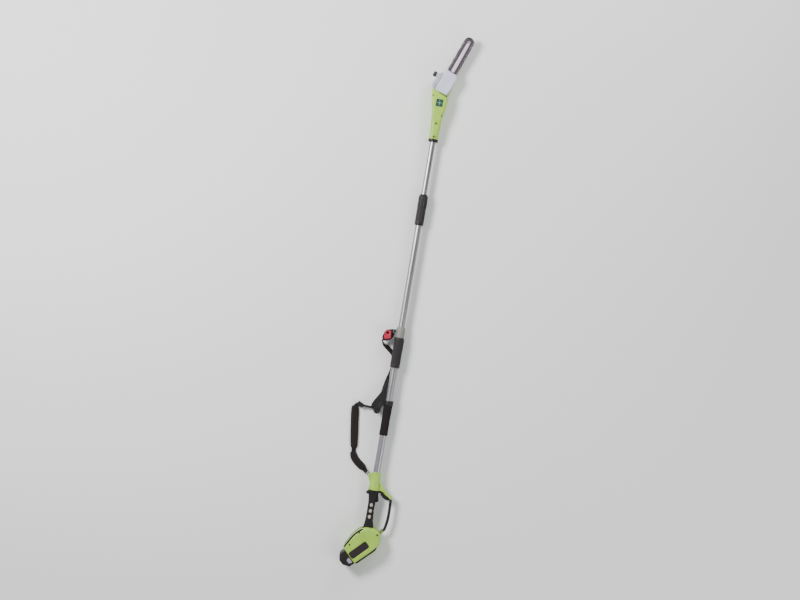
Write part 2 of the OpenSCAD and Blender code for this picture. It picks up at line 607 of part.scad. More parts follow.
head_screws_at = [[head_x + 16, 0, head_half_z - 1, 13], [head_x + 75, 0, head_half_z - 1, 13],
    [head_x + 196, 33, head_half_z - 1, 20], [head_x + 112, -20, head_half_z - 1, 20]];
module head_screws() color("#24352c") lay() screws(head_screws_at);

vent_at = [head_x + 167, 0];
module vent_cut() translate([vent_at[0] - 13, vent_at[1] - 12, head_half_z - 3.5]) cube([26, 24, 20]);
module motor_vent() color("#1f4a42") lay() difference() {
    translate([vent_at[0] - 12.8, vent_at[1] - 11.8, head_half_z - 3.3]) cube([25.6, 23.6, 2.5]);
    for (k = [-2 : 2]) translate([vent_at[0] - 10, vent_at[1] + k * 4.4 - 1, head_half_z - 8]) cube([20,
        2, 12]);
}

module motor_case() color(steel) lay() bar_frame() translate([motor_b, 0, motor_z0]) difference() {
    cylinder(h = motor_l, r = motor_d / 2);
    translate([0, 0, 2]) cylinder(h = motor_l - 4, r = motor_d / 2 - 2);
    translate([0, 0, -1]) cylinder(h = motor_l + 2, r = 2.5 + run);
}
module gear_plate() color(steel) lay() bar_frame() difference() {
    slab(plate_outline, gear_z - 2, gear_z - 0.6);
    translate([idler_b, 0, gear_z - 5]) cylinder(h = 10, r = 3 + run);
    translate([0, 0, gear_z - 5]) cylinder(h = 10, r = axle_r + 0.5);
    translate([motor_b, 0, gear_z - 5]) cylinder(h = 10, r = 3.5);
}
module output_bearings() color(steel) lay() bar_frame() for (z = [gear_z + gear_t + 4,
    bar_seat_z - 6]) translate([0, 0, z])
    ring(bearing_r, axle_r + run, 5);
module oil_pump() color("#d8d4c8") lay() bar_frame() slab(pump_outline, -14.6, bar_seat_z - 0.4);

// spur gear with involute flanks, thinned for backlash
pressure = 25;
backlash = 0.17;
function involute(a) = tan(a) * 180 / PI - a;
module gear(n, phase, bore) {
    rp = gear_m * n / 2;
    rb = rp * cos(pressure);
    tip = rp + gear_m * 0.9;
    root = rp - gear_m * 1.15;
    base = max(root, rb);
    half_p = 90 / n - backlash / 2 / rp * 180 / PI + involute(pressure);
    flank = [[root, half_p + 0.2], for (k = [0 : 4]) let(r = base + (tip - base) * k / 4)
        [r, half_p - involute(acos(rb / r))]];
    linear_extrude(gear_t) difference() {
        polygon([for (i = [0 : n - 1]) let(mid = phase + i * 360 / n) each [
            for (f = flank) f[0] * [cos(mid - f[1]), sin(mid - f[1])],
            for (k = [len(flank) - 1 : -1 : 0]) flank[k][0] * [cos(mid + flank[k][1]),
            sin(mid + flank[k][1])]]]);
        circle(r = bore);
    }
}
// the three centres lie on one line, so each phase follows from the one before
idler_phase = 180 + 180 / idler_n;
idler_far = -idler_phase * idler_n / 360;
output_phase = 180 - (0.5 - (idler_far - floor(idler_far))) * 360 / output_n;
module motor_rotor() color("#8c6a4a") lay() bar_frame() translate([motor_b, 0, 0]) {
    translate([0, 0, gear_z]) gear(pinion_n, 0, 2.4);
    translate([0, 0, gear_z - 0.2]) cylinder(h = motor_l + gear_t + 4, r = 2.5);
    translate([0, 0, motor_z0 + 6]) cylinder(h = motor_l - 16, r = motor_d / 2 - 6);
}
module idler_gear() color(brass) lay() bar_frame() translate([idler_b, 0, 0]) {
    translate([0, 0, gear_z]) gear(idler_n, idler_phase, 2.9);
    translate([0, 0, gear_z - 1.8]) cylinder(h = gear_t + 6, r = 3);
}
module output_gear() color(brass) lay() bar_frame() translate([0, 0, gear_z]) gear(output_n,
    output_phase, axle_r);
sprocket_teeth = 6;
module drive_sprocket() color("#777777") lay() bar_frame() {
    translate([0, 0, gear_z - 0.4]) cylinder(h = cover_z0 + 0.6 - gear_z, r = axle_r);
    translate([0, 0, bar_seat_z + 0.5]) cylinder(h = bar_t + 2.4, r = sprocket_r - 7);
    translate([0, 0, bar_z + 0.4]) linear_extrude(bar_t - 0.8) polygon([for (i = [0 : sprocket_teeth - 1])
        let(mid = i * 360 / sprocket_teeth) each [for (s = [-9, 9]) sprocket_r * [cos(mid + s),
        sin(mid + s)],
        for (s = [-6, 6]) (sprocket_r - 6) * [cos(mid + 30 + s), sin(mid + 30 + s)]]]);
}

// translucent tank on the bar's upper side, with a filler neck
tank_outline = [[joint_b + 0.5, tank_c0], [cover_b1 - 22, tank_c0], [cover_b1 - 20, tank_c0 + 8],
    [cover_b1 - 34, tank_c1],
    [joint_b + 14, tank_c1], [joint_b + 0.5, tank_c1 - 12]];
module oil_tank() color([0.9, 0.9, 0.96, 0.7]) lay() bar_frame() difference() {
    union() {
        slab(rounded(tank_outline, 4), -20, 24);
        slab(rounded(inset(tank_outline, 2), 3), -22, 26);
        translate([cap_b, tank_c1 - 2, 0]) rotate([-90, 0, 0]) cylinder(h = 8, r = 10);
    }
    slab(rounded(inset(tank_outline, 2.6), 2), -18, 22);
    translate([cap_b, tank_c1 - 8, 0]) rotate([-90, 0, 0]) cylinder(h = 20, r = 7.6);
}
module oil_cap() color(black) lay() bar_frame() translate([cap_b, tank_c1 + 6.2, 0]) rotate([-90, 0, 0]) {
    difference() {
        union() {
            cylinder(h = 9, r = 12.4);
            translate([0, 0, -7]) cylinder(h = 8, r = 7.6 - fine);
            translate([-11, -2.2, 8.5]) cube([22, 4.4, 4.5]);
        }
        for (k = [0 : 11]) rotate([0, 0, k * 30]) translate([13.4, 0, -1]) cylinder(h = 11, r = 1.8,
        $fn = 24);
    }
}

module bar_fasteners() color(steel) lay() bar_frame() for (b = stud_b) translate([b, 0, 0]) {
    translate([0, 0, -14]) cylinder(h = cover_z1 + 14 - 3, r = stud_r);
    translate([0, 0, nut_z]) cylinder(h = 6, r = 7.4, $fn = 6);
}
nut_z = cover_z1 - 9.8;
cover_outline = [[joint_b + 0.5, cover_c0 + 3], [-4, cover_c0], [40, cover_c0 - 2], [cover_b1 - 2,
    cover_c0 + 5],
    [cover_b1, tank_c0 - 3], [cover_b1 - 12, tank_c0 - 0.5],
    [joint_b + 0.5, tank_c0 - 0.5]];
module sprocket_cover() color("#d4d4e2") lay() bar_frame() difference() {
    union() {
        slab(rounded(cover_outline, 6), bar_seat_z + 0.2, cover_z1 - 4);
        slab(rounded(inset(cover_outline, 2.2), 5), bar_seat_z + 3, cover_z1 - 1.2);
        slab(rounded(inset(cover_outline, 4.5), 4), bar_seat_z + 5, cover_z1);
    }
    slab(rounded(inset(cover_outline, 2.8), 4), bar_seat_z - 4, cover_z0 + 1.6);
    // mouth for the bar and chain
    translate([20, -bar_h / 2 - chain_w - 2, bar_seat_z - 5]) cube([80, bar_h + 2 * chain_w + 4,
        cover_z0 - bar_seat_z + 5.4]);
    for (b = stud_b) translate([b, 0, bar_seat_z]) {
        cylinder(h = 40, r = 4.3);
        translate([0, 0, nut_z - bar_seat_z]) cylinder(h = 20, r = 8.6);
    }
    // finger groove across the cover
    translate([-18, -12, cover_z1 - 2]) cube([26, 3, 5]);
    translate([-18, -4, cover_z1 - 2]) cube([26, 3, 5]);
    translate([-18, 4, cover_z1 - 2]) cube([26, 3, 5]);
}

// guide bar: rounded nose, slot for the bolts, hole for the tension pin and notch round the sprocket
pin_at = [40, 12];
module guide_bar() color(steel) lay() bar_frame() difference() {
    union() {
        slab([[20, -bar_h / 2 + 2], [34, -bar_h / 2], [nose_c, -bar_h / 2], [nose_c, bar_h / 2], [34,
        bar_h / 2], [20, bar_h / 2 - 2]],
            bar_z, bar_z + bar_t);
        translate([nose_c, 0, bar_z]) cylinder(h = bar_t, r = bar_h / 2);
    }
    slab([[14, -stud_r - fine], [56, -stud_r - fine], [60, 0], [56, stud_r + fine], [14, stud_r + fine]],
        -50, 50);
    cylinder(h = 60, r = sprocket_r + 4, center = true);
    translate([pin_at[0], pin_at[1], -50]) cylinder(h = 100, r = 2.6);
    translate([nose_c, 0, -50]) cylinder(h = 100, r = 2.4);
}
cutter_pitch = 19;
module saw_chain() color("#4c474a") lay() bar_frame() translate([0, 0,
    bar_z + bar_t / 2 - chain_sw / 2]) linear_extrude(chain_sw)
    difference() {
        union() {
            translate([0, -chain_out]) square([nose_c, 2 * chain_out]);
            translate([nose_c, 0]) circle(r = chain_out);
            circle(r = chain_out);
            for (b = [6 : cutter_pitch : nose_c - 14]) {
                translate([b, chain_out - 0.5]) polygon([[0, 0], [9, 0], [8, 2.4], [0, 2.2]]);
                translate([b, -chain_out + 0.5]) polygon([[9, 0], [0, 0], [1, -2.4], [9, -2.2]]);
            }
        }
        translate([0, -chain_r]) square([nose_c, 2 * chain_r]);
        translate([nose_c, 0]) circle(r = chain_r);
        circle(r = chain_r);
    }

// tension screw, and the pin that carries its pull up to the bar
screw_z = -9;
screw_l = cover_b1 - 4 - (pin_at[0] - 10) + 0.1;   // its head bears on the floor's front end
module tension_cut() {
    translate([cover_b1 - 50, pin_at[1], screw_z]) rotate([0, 90, 0]) cylinder(h = 80, r = 2.2);
    translate([pin_at[0] - 8, pin_at[1] - 4, screw_z - 4]) cube([12, 8, 40]);
}
module tension_screw() color(steel) lay() bar_frame() translate([pin_at[0] - 10, pin_at[1],
    screw_z]) rotate([0, 90, 0]) {
    cylinder(h = screw_l, r = 2);
    translate([0, 0, screw_l]) difference() {
        cylinder(h = 3.5, r = 4.5);
        translate([-6, -0.6, 2]) cube([12, 1.2, 4]);
    }
}
module tension_pin() color(steel) lay() bar_frame() translate([pin_at[0], pin_at[1], 0]) difference() {
    union() {
        translate([0, 0, screw_z - 3.6]) cylinder(h = 7.4, r = 3.6);
        translate([0, 0, screw_z]) cylinder(h = bar_z + bar_t - screw_z, r = 2.4);
    }
    translate([-10, 0, screw_z]) rotate([0, 90, 0]) cylinder(h = 20, r = 2 + run);
}

// =================================================================== strap
ground_z = -bay_h;
// Ribbon along points [x, y, z, tilt]; tilt 0 lies flat and 90 stands on edge
function along(p, i) = let(a = p[max(i - 1, 0)], b = p[min(i + 1, len(p) - 1)]) unit([for (k =
    [0 : 2]) b[k] - a[k]]);
function section(p, i) = let(t = along(p, i), s = unit(cross([0, 0, 1], t)), up = cross(t, s),
    c = cos(p[i][3]),
    w = (s * c + up * sin(p[i][3])) * web_w / 2, h = (up * c - s * sin(p[i][3])) * web_t / 2,
    o = [p[i][0], p[i][1], p[i][2]]) [o - w - h, o + w - h, o + w + h, o - w + h];
module ribbon(p) polyhedron(points = [for (i = [0 : len(p) - 1]) each section(p, i)], faces = [
    [0, 1, 2, 3], [for (k = [3 : -1 : 0]) 4 * len(p) - 4 + k],
    for (i = [0 : len(p) - 2]) for (k = [0 : 3]) let(a = 4 * i + k, b = 4 * i + (k + 1) % 4) each [[b, a,
        a + 4], [b, a + 4, b + 4]]]);
web_up = ground_z + web_w / 2 + 0.3;

// webbing: from the buckle, flat on the ground under the lock, up through the bracket's guide, and on edge to the pads
front_route = [
    [front_eye[0] - 51, front_eye[1] + 46, -3, 90], [front_eye[0] - 57, front_eye[1] + 42, -10, 80],
    [front_eye[0] - 68, front_eye[1] + 34, -26, 40], [front_eye[0] - 84, front_eye[1] + 12, -36.5, 8],
    [front_eye[0] - 110, front_eye[1] - 14, ground_z + 1.6, 0], [front_eye[0] - 150, front_eye[1] - 20,
        ground_z + 1.4, 0],
    [front_eye[0] - 190, front_eye[1] - 14, ground_z + 2.2, 4], [hanger_x0 + 110, 17, -35.2, 20],
    [hanger_x0 + 70, 24, -29, 55], [hanger_x0 + 36, 28, -21, 82], [hanger_x0 + 14, 30, guide_z - 1, 90],
    [guide_at[0], guide_at[1], guide_z, 90], [hanger_x0 - 14, 46, -20, 90], [hanger_x0 - 21, 64, -25, 90],
    [hanger_x0 - 22, 86, -28, 90], [hanger_x0 - 21, 106, web_up, 90],
];
rear_route = [[-19, 56, -31, 0], [-24, 51, -25, 12], [-28.4, 45.6, -16, 30]];

// pads: straight long one, curved short one with a flared end
pad_z0 = ground_z + 0.2;
function strip(a, b, w0, w1) = let(n = [a[1] - b[1], b[0] - a[0]] / norm(b - a) / 2) [a - n * w0,
    b - n * w1, b + n * w1, a + n * w0];
long_pad = rounded(strip([68, 119], [250, 145], pad_w - 3, pad_w), 9);
short_pad = rounded([[52, 120], [40, 134], [14, 124], [-8, 100], [-22, 82], [-27, 72], [-17, 58], [-7,
    46], [2, 50], [3, 60],
    [22, 84], [44, 106]], 5);
module pad(points, t) {
    slab(inset(points, -0.1), pad_z0 + 3, pad_z0 + t - 3);
    slab(inset(points, 1.2), pad_z0 + 1, pad_z0 + t - 1);
    slab(inset(points, 3), pad_z0, pad_z0 + t);
}
module strap_front() color("#2a2118") lay() ribbon(front_route);
module strap_pad_long() color("#2a2118") lay() pad(long_pad, pad_t);
module strap_pad_short() color("#2a2118") lay() pad(short_pad, pad_t);
// ladder slider where the cross strap turns into the long pad
slider_at = [hanger_x0 - 18, 122];
module strap_slider() color(black) lay() translate([slider_at[0], slider_at[1], ground_z + 0.2])
    rotate([0, 0, 65]) difference() {
    slab(rounded([[-14, -9], [14, -9], [16, 0], [14, 9], [-14, 9], [-16, 0]], 3), 0, web_w + 4);
    translate([-30, -3.6, 2]) cube([60, 3, web_w + 0.6]);
    translate([-10, 1.6, -5]) cube([20, 3.4, 60]);
}
link_route = [[66.2, 119, -33, 0], [60, 119, -33.5, 0], [52.8, 119.4, -33, 0]];
module strap_rear() color("#2a2118") lay() {
    ribbon(rear_route);
    ribbon(link_route);
}
// wire hook from the rear strap's end through the handle's eye
module rear_hook() color(steel) lay() translate([rear_eye[0], rear_eye[1], 0]) {
    translate([0, 0, -9]) cylinder(h = 16, r = 2.6);
    slab([[-3, -3], [3, -3], [12, 14], [5, 17]], -14, -8);
}

// ---- overall box, for the origin
x_max = sprocket_x + nose_c * cos(bar_angle) + chain_out;
x_min = bay_dx - max([for (p = rounded(pack_outline, 4)) (p[0] + p[1]) / sqrt(2)]);
y_min = sprocket_y - nose_c * sin(bar_angle) - chain_out;
y_max = max([for (p = long_pad) p[1]]);
axis_z = bay_h;

lower_tube();
foam_grip();
lower_lock_body();
hanger_bracket();
rear_shell_left();
rear_shell_right();
grip_cover();
grip_inserts();
hand_guard();
rear_screws();
side_panels();
battery_terminals();
control_board();
trigger_switch();
trigger_spring();
coiled_cable();
strap_buckle();
strap_front();
strap_slider();
strap_pad_long();
strap_pad_short();
strap_rear();
rear_hook();
hanger_knob();
release_tab();
trigger();
lock_button();
battery_case();
battery_cells();
battery_latch();
lower_collar();
middle_tube();
middle_guide();
upper_lock_body();
upper_collar();
upper_tube();
upper_guide();
neck_ring();
head_shell_left();
head_shell_right();
head_screws();
motor_vent();
motor_case();
gear_plate();
output_bearings();
oil_pump();
oil_tank();
oil_cap();
bar_fasteners();
sprocket_cover();
motor_rotor();
idler_gear();
output_gear();
drive_sprocket();
guide_bar();
saw_chain();
tension_screw();
tension_pin();
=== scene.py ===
import math
import bpy
import numpy as np
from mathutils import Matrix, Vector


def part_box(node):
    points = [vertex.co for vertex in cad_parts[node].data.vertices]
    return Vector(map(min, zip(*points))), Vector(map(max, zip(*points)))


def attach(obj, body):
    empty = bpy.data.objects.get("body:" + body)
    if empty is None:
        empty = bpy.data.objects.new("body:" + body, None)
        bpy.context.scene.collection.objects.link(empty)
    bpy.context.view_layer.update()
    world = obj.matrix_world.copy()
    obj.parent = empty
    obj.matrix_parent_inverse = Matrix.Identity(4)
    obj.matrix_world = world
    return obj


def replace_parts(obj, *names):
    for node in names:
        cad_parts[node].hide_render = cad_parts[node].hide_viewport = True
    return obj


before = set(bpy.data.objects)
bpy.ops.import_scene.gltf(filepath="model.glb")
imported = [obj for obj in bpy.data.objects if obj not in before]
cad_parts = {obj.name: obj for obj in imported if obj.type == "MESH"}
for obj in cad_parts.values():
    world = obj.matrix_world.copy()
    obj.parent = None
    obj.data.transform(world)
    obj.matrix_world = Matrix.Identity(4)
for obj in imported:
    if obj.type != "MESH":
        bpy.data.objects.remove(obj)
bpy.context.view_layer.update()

# ---- Camera, floor and light
# Looks straight down on the tool's right side, with the pole leaning a little to the right of upright.
# The floor is plain and pale, and three large soft lamps stand round it.
lean = math.radians(-80.38)
lens = bpy.data.cameras.new("camera")
lens.lens, lens.sensor_width, lens.clip_end = 70, 36, 50
camera = bpy.data.objects.new("camera", lens)
camera.location = (0.0, 0.0, 6.95)
camera.rotation_euler = (0, 0, lean)
bpy.context.scene.collection.objects.link(camera)
bpy.context.scene.camera = camera

world = bpy.data.worlds.new("studio")
world.use_nodes = True
world.node_tree.nodes["Background"].inputs["Color"].default_value = (0.93, 0.96, 1.0, 1)
world.node_tree.nodes["Background"].inputs["Strength"].default_value = 0.36
bpy.context.scene.world = world
for lamp_name, spot, watts, size in (("key", (1.2, 2.6, 3.2), 235, 1.3), ("fill", (-1.8, -2.8, 2.6), 60, 2.4),
                                     ("rim", (2.9, -1.0, 1.7), 46, 1.2)):
    lamp = bpy.data.lights.new(lamp_name, "AREA")
    lamp.energy, lamp.size = watts, size
    stand = bpy.data.objects.new(lamp_name, lamp)
    stand.location = spot
    aim = Vector(spot)
    stand.rotation_euler = aim.to_track_quat("Z", "Y").to_euler()
    bpy.context.scene.collection.objects.link(stand)
floor_mesh = bpy.data.meshes.new("floor")
floor_mesh.from_pydata([(-9, -9, 0), (9, -9, 0), (9, 9, 0), (-9, 9, 0)], [], [(0, 1, 2, 3)])
floor_obj = bpy.data.objects.new("floor", floor_mesh)
bpy.context.scene.collection.objects.link(floor_obj)
floor_paint = bpy.data.materials.new("floor paint")
floor_paint.use_nodes = True
floor_paint.node_tree.nodes["Principled BSDF"].inputs["Base Color"].default_value = (0.90, 0.91, 0.89, 1)
floor_paint.node_tree.nodes["Principled BSDF"].inputs["Roughness"].default_value = 0.85
floor_mesh.materials.append(floor_paint)

# ---- The three alloy tubes
# Drawn aluminium tubes that slide one inside the next; a satin anodised finish with fine lengthwise marks.
# Their shapes come with the part; only the finish is added here.
tube_low, tube_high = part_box("lower_tube")
MARK = np.array([tube_low.x + 0.090, (tube_low.y + tube_high.y) / 2, (tube_low.z + tube_high.z) / 2])


def add(tree, kind, inputs=None, **props):
    """One shader node: its settings, then each input as a fixed value or a link from another socket."""
    made = tree.nodes.new(kind)
    for key, value in props.items():
        setattr(made, key, value)
    for key, value in (inputs or {}).items():
        if isinstance(value, bpy.types.NodeSocket):
            tree.links.new(value, made.inputs[key])
        else:
            made.inputs[key].default_value = value
    return made


def effect(name, *takes):
    """Empty node group that takes these sockets and gives a surface's colour, roughness and normal; returns
    the tree, its input node and its output node."""
    tree = bpy.data.node_groups.new(name, "ShaderNodeTree")
    for label, kind, value in takes:
        tree.interface.new_socket(label, in_out="INPUT", socket_type="NodeSocket" + kind).default_value = value
    for label, kind in (("Color", "Color"), ("Roughness", "Float"), ("Normal", "Vector")):
        tree.interface.new_socket(label, in_out="OUTPUT", socket_type="NodeSocket" + kind)
    return tree, tree.nodes.new("NodeGroupInput"), tree.nodes.new("NodeGroupOutput")


def sums(tree, kind, *values, **props):
    """Output of one maths node."""
    return add(tree, "ShaderNodeMath", dict(enumerate(values)), operation=kind, **props).outputs[0]


def noise(tree, place, scale, detail):
    """Smooth noise from 0 to 1 at a place."""
    return add(tree, "ShaderNodeTexNoise", {"Vector": place, "Scale": scale, "Detail": detail}).outputs["Fac"]


def toned(tree, taken, level):
    """The effect's base colour times a level."""
    inputs = {0: taken.outputs["Base"], "Scale": level}
    return add(tree, "ShaderNodeVectorMath", inputs, operation="SCALE").outputs[0]


def give(tree, taken, given, colour, gloss, height, depth):
    """Links an effect's colour and roughness out, with relief from a height; depth is in metres."""
    bump = add(tree, "ShaderNodeBump",
               {"Height": height, "Strength": taken.outputs["Relief"], "Distance": depth})
    for socket, value in (("Color", colour), ("Roughness", gloss), ("Normal", bump.outputs[0])):
        tree.links.new(value, given.inputs[socket])


# Drawn marks: noise stretched along one axis gives streaks in colour, roughness and relief
drawn, taken, given = effect("drawn marks", ("Base", "Color", (0.6, 0.6, 0.6, 1)),
                             ("Stretch", "Vector", (9, 420, 420)), ("Rough", "Float", 0.3),
                             ("Relief", "Float", 0.2))
here = add(drawn, "ShaderNodeTexCoord").outputs["Object"]
pulled = add(drawn, "ShaderNodeVectorMath", {0: here, 1: taken.outputs["Stretch"]}, operation="MULTIPLY").outputs[0]
streak, smudge = noise(drawn, pulled, 1.0, 5.0), noise(drawn, here, 22.0, 3.0)
shade = add(drawn, "ShaderNodeMapRange", {"Value": streak, "From Min": 0.25, "From Max": 0.75, "To Min": 0.78,
                                          "To Max": 1.12}).outputs[0]
gloss = sums(drawn, "MULTIPLY_ADD", streak, 0.16, taken.outputs["Rough"])
gloss = sums(drawn, "MULTIPLY_ADD", smudge, 0.14, gloss)
give(drawn, taken, given, toned(drawn, taken, shade), gloss, streak, 0.0004)


def finished(name, surface, values, **sockets):
    """Material whose colour, roughness and relief come from an effect; sockets go on the shader itself."""
    made = bpy.data.materials.new(name)
    made.use_nodes = True
    tree, shader = made.node_tree, made.node_tree.nodes["Principled BSDF"]
    for key, value in sockets.items():
        shader.inputs[key.replace("_", " ")].default_value = value
    look = add(tree, "ShaderNodeGroup", values, node_tree=surface)
    for out, to in (("Color", "Base Color"), ("Roughness", "Roughness"), ("Normal", "Normal")):
        tree.links.new(look.outputs[out], shader.inputs[to])
    return made


def metal(name, colour, rough=0.3, stretch=(9, 420, 420), relief=0.2):
    """Bare metal with drawn marks along one axis."""
    values = {"Base": (*colour, 1), "Stretch": stretch, "Rough": rough, "Relief": relief}
    return finished(name, drawn, values, Metallic=1.0)


def dress(finish, *nodes):
    """Gives carried-over CAD pieces this finish."""
    for name in nodes:
        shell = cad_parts[name].data
        shell.materials.clear()
        shell.materials.append(finish)


alloy = metal("satin alloy", (0.40, 0.375, 0.40), 0.22)
dress(alloy, "lower_tube", "middle_tube", "upper_tube")

# ---- Foam grip
# Closed-cell foam sleeve pushed over the lower tube for the front hand, with soft rolled ends
# and the faint waist that a stretched sleeve takes.


def place(mm):
    """Pole millimetres to the row frame's metres: the mark plus a thousandth of each."""
    return MARK + np.asarray(mm, float) / 1000


def skin(name, grids, body, finish, loop=False):
    """Mesh over grids of points P(i, j): i runs along a part and j round it, with a quad between neighbours.
    loop closes i, or else each end gets one flat face, and faces are turned outward by the sign of the
    volume they close. The attribute "run" holds the distance round and along in metres."""
    points, faces, runs, start = [], [], [], 0
    for grid in grids:
        grid = np.asarray(grid, float)
        n, m = grid.shape[:2]
        index = np.arange(n * m).reshape(n, m)
        near, far = (index, np.roll(index, -1, 0)) if loop else (index[:-1], index[1:])
        quads = np.stack([near, np.roll(near, -1, 1), np.roll(far, -1, 1), far], -1).reshape(-1, 4)
        flat = grid.reshape(-1, 3) - grid.reshape(-1, 3).mean(0)
        q = flat[quads]
        fill = np.einsum("ij,ij->i", q[:, 0], np.cross(q[:, 1], q[:, 2])) \
            + np.einsum("ij,ij->i", q[:, 0], np.cross(q[:, 2], q[:, 3]))
        turn = slice(None, None, -1 if fill.sum() < 0 else 1)
        faces += (quads[:, turn] + start).tolist()
        if not loop:
            faces += [(index[0][::-1][turn] + start).tolist(), (index[-1][turn] + start).tolist()]
        across = np.cumsum(np.linalg.norm(np.diff(grid, axis=1, prepend=grid[:, :1]), axis=2), 1)
        down = np.cumsum(np.linalg.norm(np.diff(grid, axis=0, prepend=grid[:1]), axis=2).mean(1))
        runs.append(np.stack([across, np.broadcast_to(down[:, None], (n, m)), 0 * across], -1).reshape(-1, 3))
        points.append(grid.reshape(-1, 3))
        start += n * m
    mesh = bpy.data.meshes.new(name)
    mesh.from_pydata(place(np.concatenate(points)), [], faces)
    mesh.attributes.new("run", "FLOAT_VECTOR", "POINT").data.foreach_set("vector",
                                                                         (np.concatenate(runs) / 1000).ravel())
    mesh.shade_smooth()
    mesh.materials.append(finish)
    made = bpy.data.objects.new(name, mesh)
    bpy.context.scene.collection.objects.link(made)
    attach(made, body)
    return made


def turned(profile, m=96, lobes=None, axis="x"):
    """Surface of revolution: row k is the circle of radius profile[k][1] at profile[k][0] along the axis.
    lobes(angle, row positions) scales the radius where the piece is ribbed or lobed."""
    at, r = np.asarray(profile, float).T
    t = np.linspace(0, 2 * np.pi, m, endpoint=False)
    radius = r[:, None] * np.ones((1, m)) * (lobes(t[None, :], at[:, None]) if lobes else 1)
    a = np.broadcast_to(at[:, None], radius.shape)
    u, v = radius * np.cos(t), radius * np.sin(t)
    return np.stack([a, u, v] if axis == "x" else [u, v, a], -1)


def travelled(points):
    """Distance from the first point to each one along the way."""
    return np.concatenate([[0], np.cumsum(np.linalg.norm(np.diff(points, axis=0), axis=1))])


def spread(rows, n):
    """The same profile with n rows, by straight lines between the old ones."""
    old, new = np.linspace(0, 1, len(rows)), np.linspace(0, 1, n)
    return np.column_stack([np.interp(new, old, rows[:, k]) for k in (0, 1)])


def rolled(points, r, n=5):
    """Open profile with each inner corner turned on a radius: arcs of n points between the straight parts."""
    p = np.asarray(points, float)
    out = [p[:1]]
    for a, b, c in zip(p[:-2], p[1:-1], p[2:]):
        u, v = (a - b) / np.linalg.norm(a - b), (c - b) / np.linalg.norm(c - b)
        reach = min(r, 0.48 * np.linalg.norm(a - b), 0.48 * np.linalg.norm(c - b))
        s = np.linspace(0, 1, n)[:, None]
        out.append((1 - s) ** 2 * (b + u * reach) + 2 * s * (1 - s) * b + s ** 2 * (b + v * reach))
    return np.concatenate(out + [p[-1:]])


# Pebbled surface: fine grain relief, slow colour drift, and paler scuffs where an edge stands out
pebbled, taken, given = effect("pebbled surface", ("Base", "Color", (0.5, 0.5, 0.5, 1)),
                               ("Worn", "Color", (0.8, 0.8, 0.8, 1)), ("Grain", "Float", 1500.0),
                               ("Relief", "Float", 0.2), ("Rough", "Float", 0.45), ("Wear", "Float", 0.4))
here = add(pebbled, "ShaderNodeTexCoord").outputs["Object"]
grain, drift = noise(pebbled, here, taken.outputs["Grain"], 2.0), noise(pebbled, here, 26.0, 4.0)
edge = add(pebbled, "ShaderNodeMapRange", {"Value": add(pebbled, "ShaderNodeNewGeometry").outputs["Pointiness"],
                                           "From Min": 0.53, "From Max": 0.62}).outputs[0]
scuff = sums(pebbled, "MULTIPLY", sums(pebbled, "MULTIPLY", edge, drift), taken.outputs["Wear"], use_clamp=True)
level = add(pebbled, "ShaderNodeMapRange", {"Value": drift, "From Min": 0.3, "From Max": 0.7, "To Min": 0.90,
                                            "To Max": 1.08}).outputs[0]
paint = add(pebbled, "ShaderNodeMix",
            {"Factor": scuff, 6: toned(pebbled, taken, level), 7: taken.outputs["Worn"]},
            data_type="RGBA").outputs[2]
gloss = sums(pebbled, "MULTIPLY_ADD", drift, 0.18, taken.outputs["Rough"])
give(pebbled, taken, given, paint, gloss, grain, 0.0003)


def plastic(name, colour, rough=0.36, grain=1500.0, relief=0.25, wear=0.4, worn=None, **sockets):
    """Moulded plastic, rubber or foam: one pebbled surface with its own grain; sockets go on the shader."""
    scuffed = worn or tuple(min(1.0, c * 1.5 + 0.05) for c in colour)
    values = {"Base": (*colour, 1), "Worn": (*scuffed, 1), "Grain": grain, "Relief": relief, "Rough": rough,
              "Wear": wear}
    return finished(name, pebbled, values, **sockets)


foam_start, foam_end, foam_r = 147.2, 280.8, 19.4
foam_profile = rolled([(foam_start, 16.1), (foam_start, foam_r - 0.4), (foam_start + 26, foam_r - 0.9),
                       (foam_end - 60, foam_r - 1.0), (foam_end - 22, foam_r - 0.3), (foam_end, foam_r),
                       (foam_end, 16.1)], 3.2, 8)
foam = plastic("closed cell foam", (0.013, 0.009, 0.010), 0.82, 900.0, 0.9, 0.10, Specular_IOR_Level=0.25)
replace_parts(skin("foam_sleeve", [turned(foam_profile)], "rear_unit", foam, loop=True), "foam_grip")

# ---- Twist locks
# Each joint of the pole has a dark ribbed collar that turns on a lock body; the lower body ends in a grey
# nose that carries the strap's eye. All are glass-filled nylon mouldings.
black = plastic("black nylon", (0.009, 0.008, 0.009), 0.40, 1500.0, 0.3, 0.35, Specular_IOR_Level=0.35)
sleeve = plastic("collar nylon", (0.016, 0.012, 0.015), 0.42, 1300.0, 0.35, 0.35, Specular_IOR_Level=0.35)
grey = plastic("grey nylon", (0.22, 0.21, 0.195), 0.45, 1500.0, 0.25, 0.4)


def ribs(count, depth, start, end):
    """Radius factor with rounded grooves between start and end: 1 - depth |sin(count t / 2)|^6 faded at
    both ends."""
    def shape(t, at):
        fade = np.clip((at - start) / 5, 0, 1) * np.clip((end - at) / 5, 0, 1)
        return 1 - depth * fade ** 0.5 * np.abs(np.sin(count * t / 2)) ** 6
    return shape


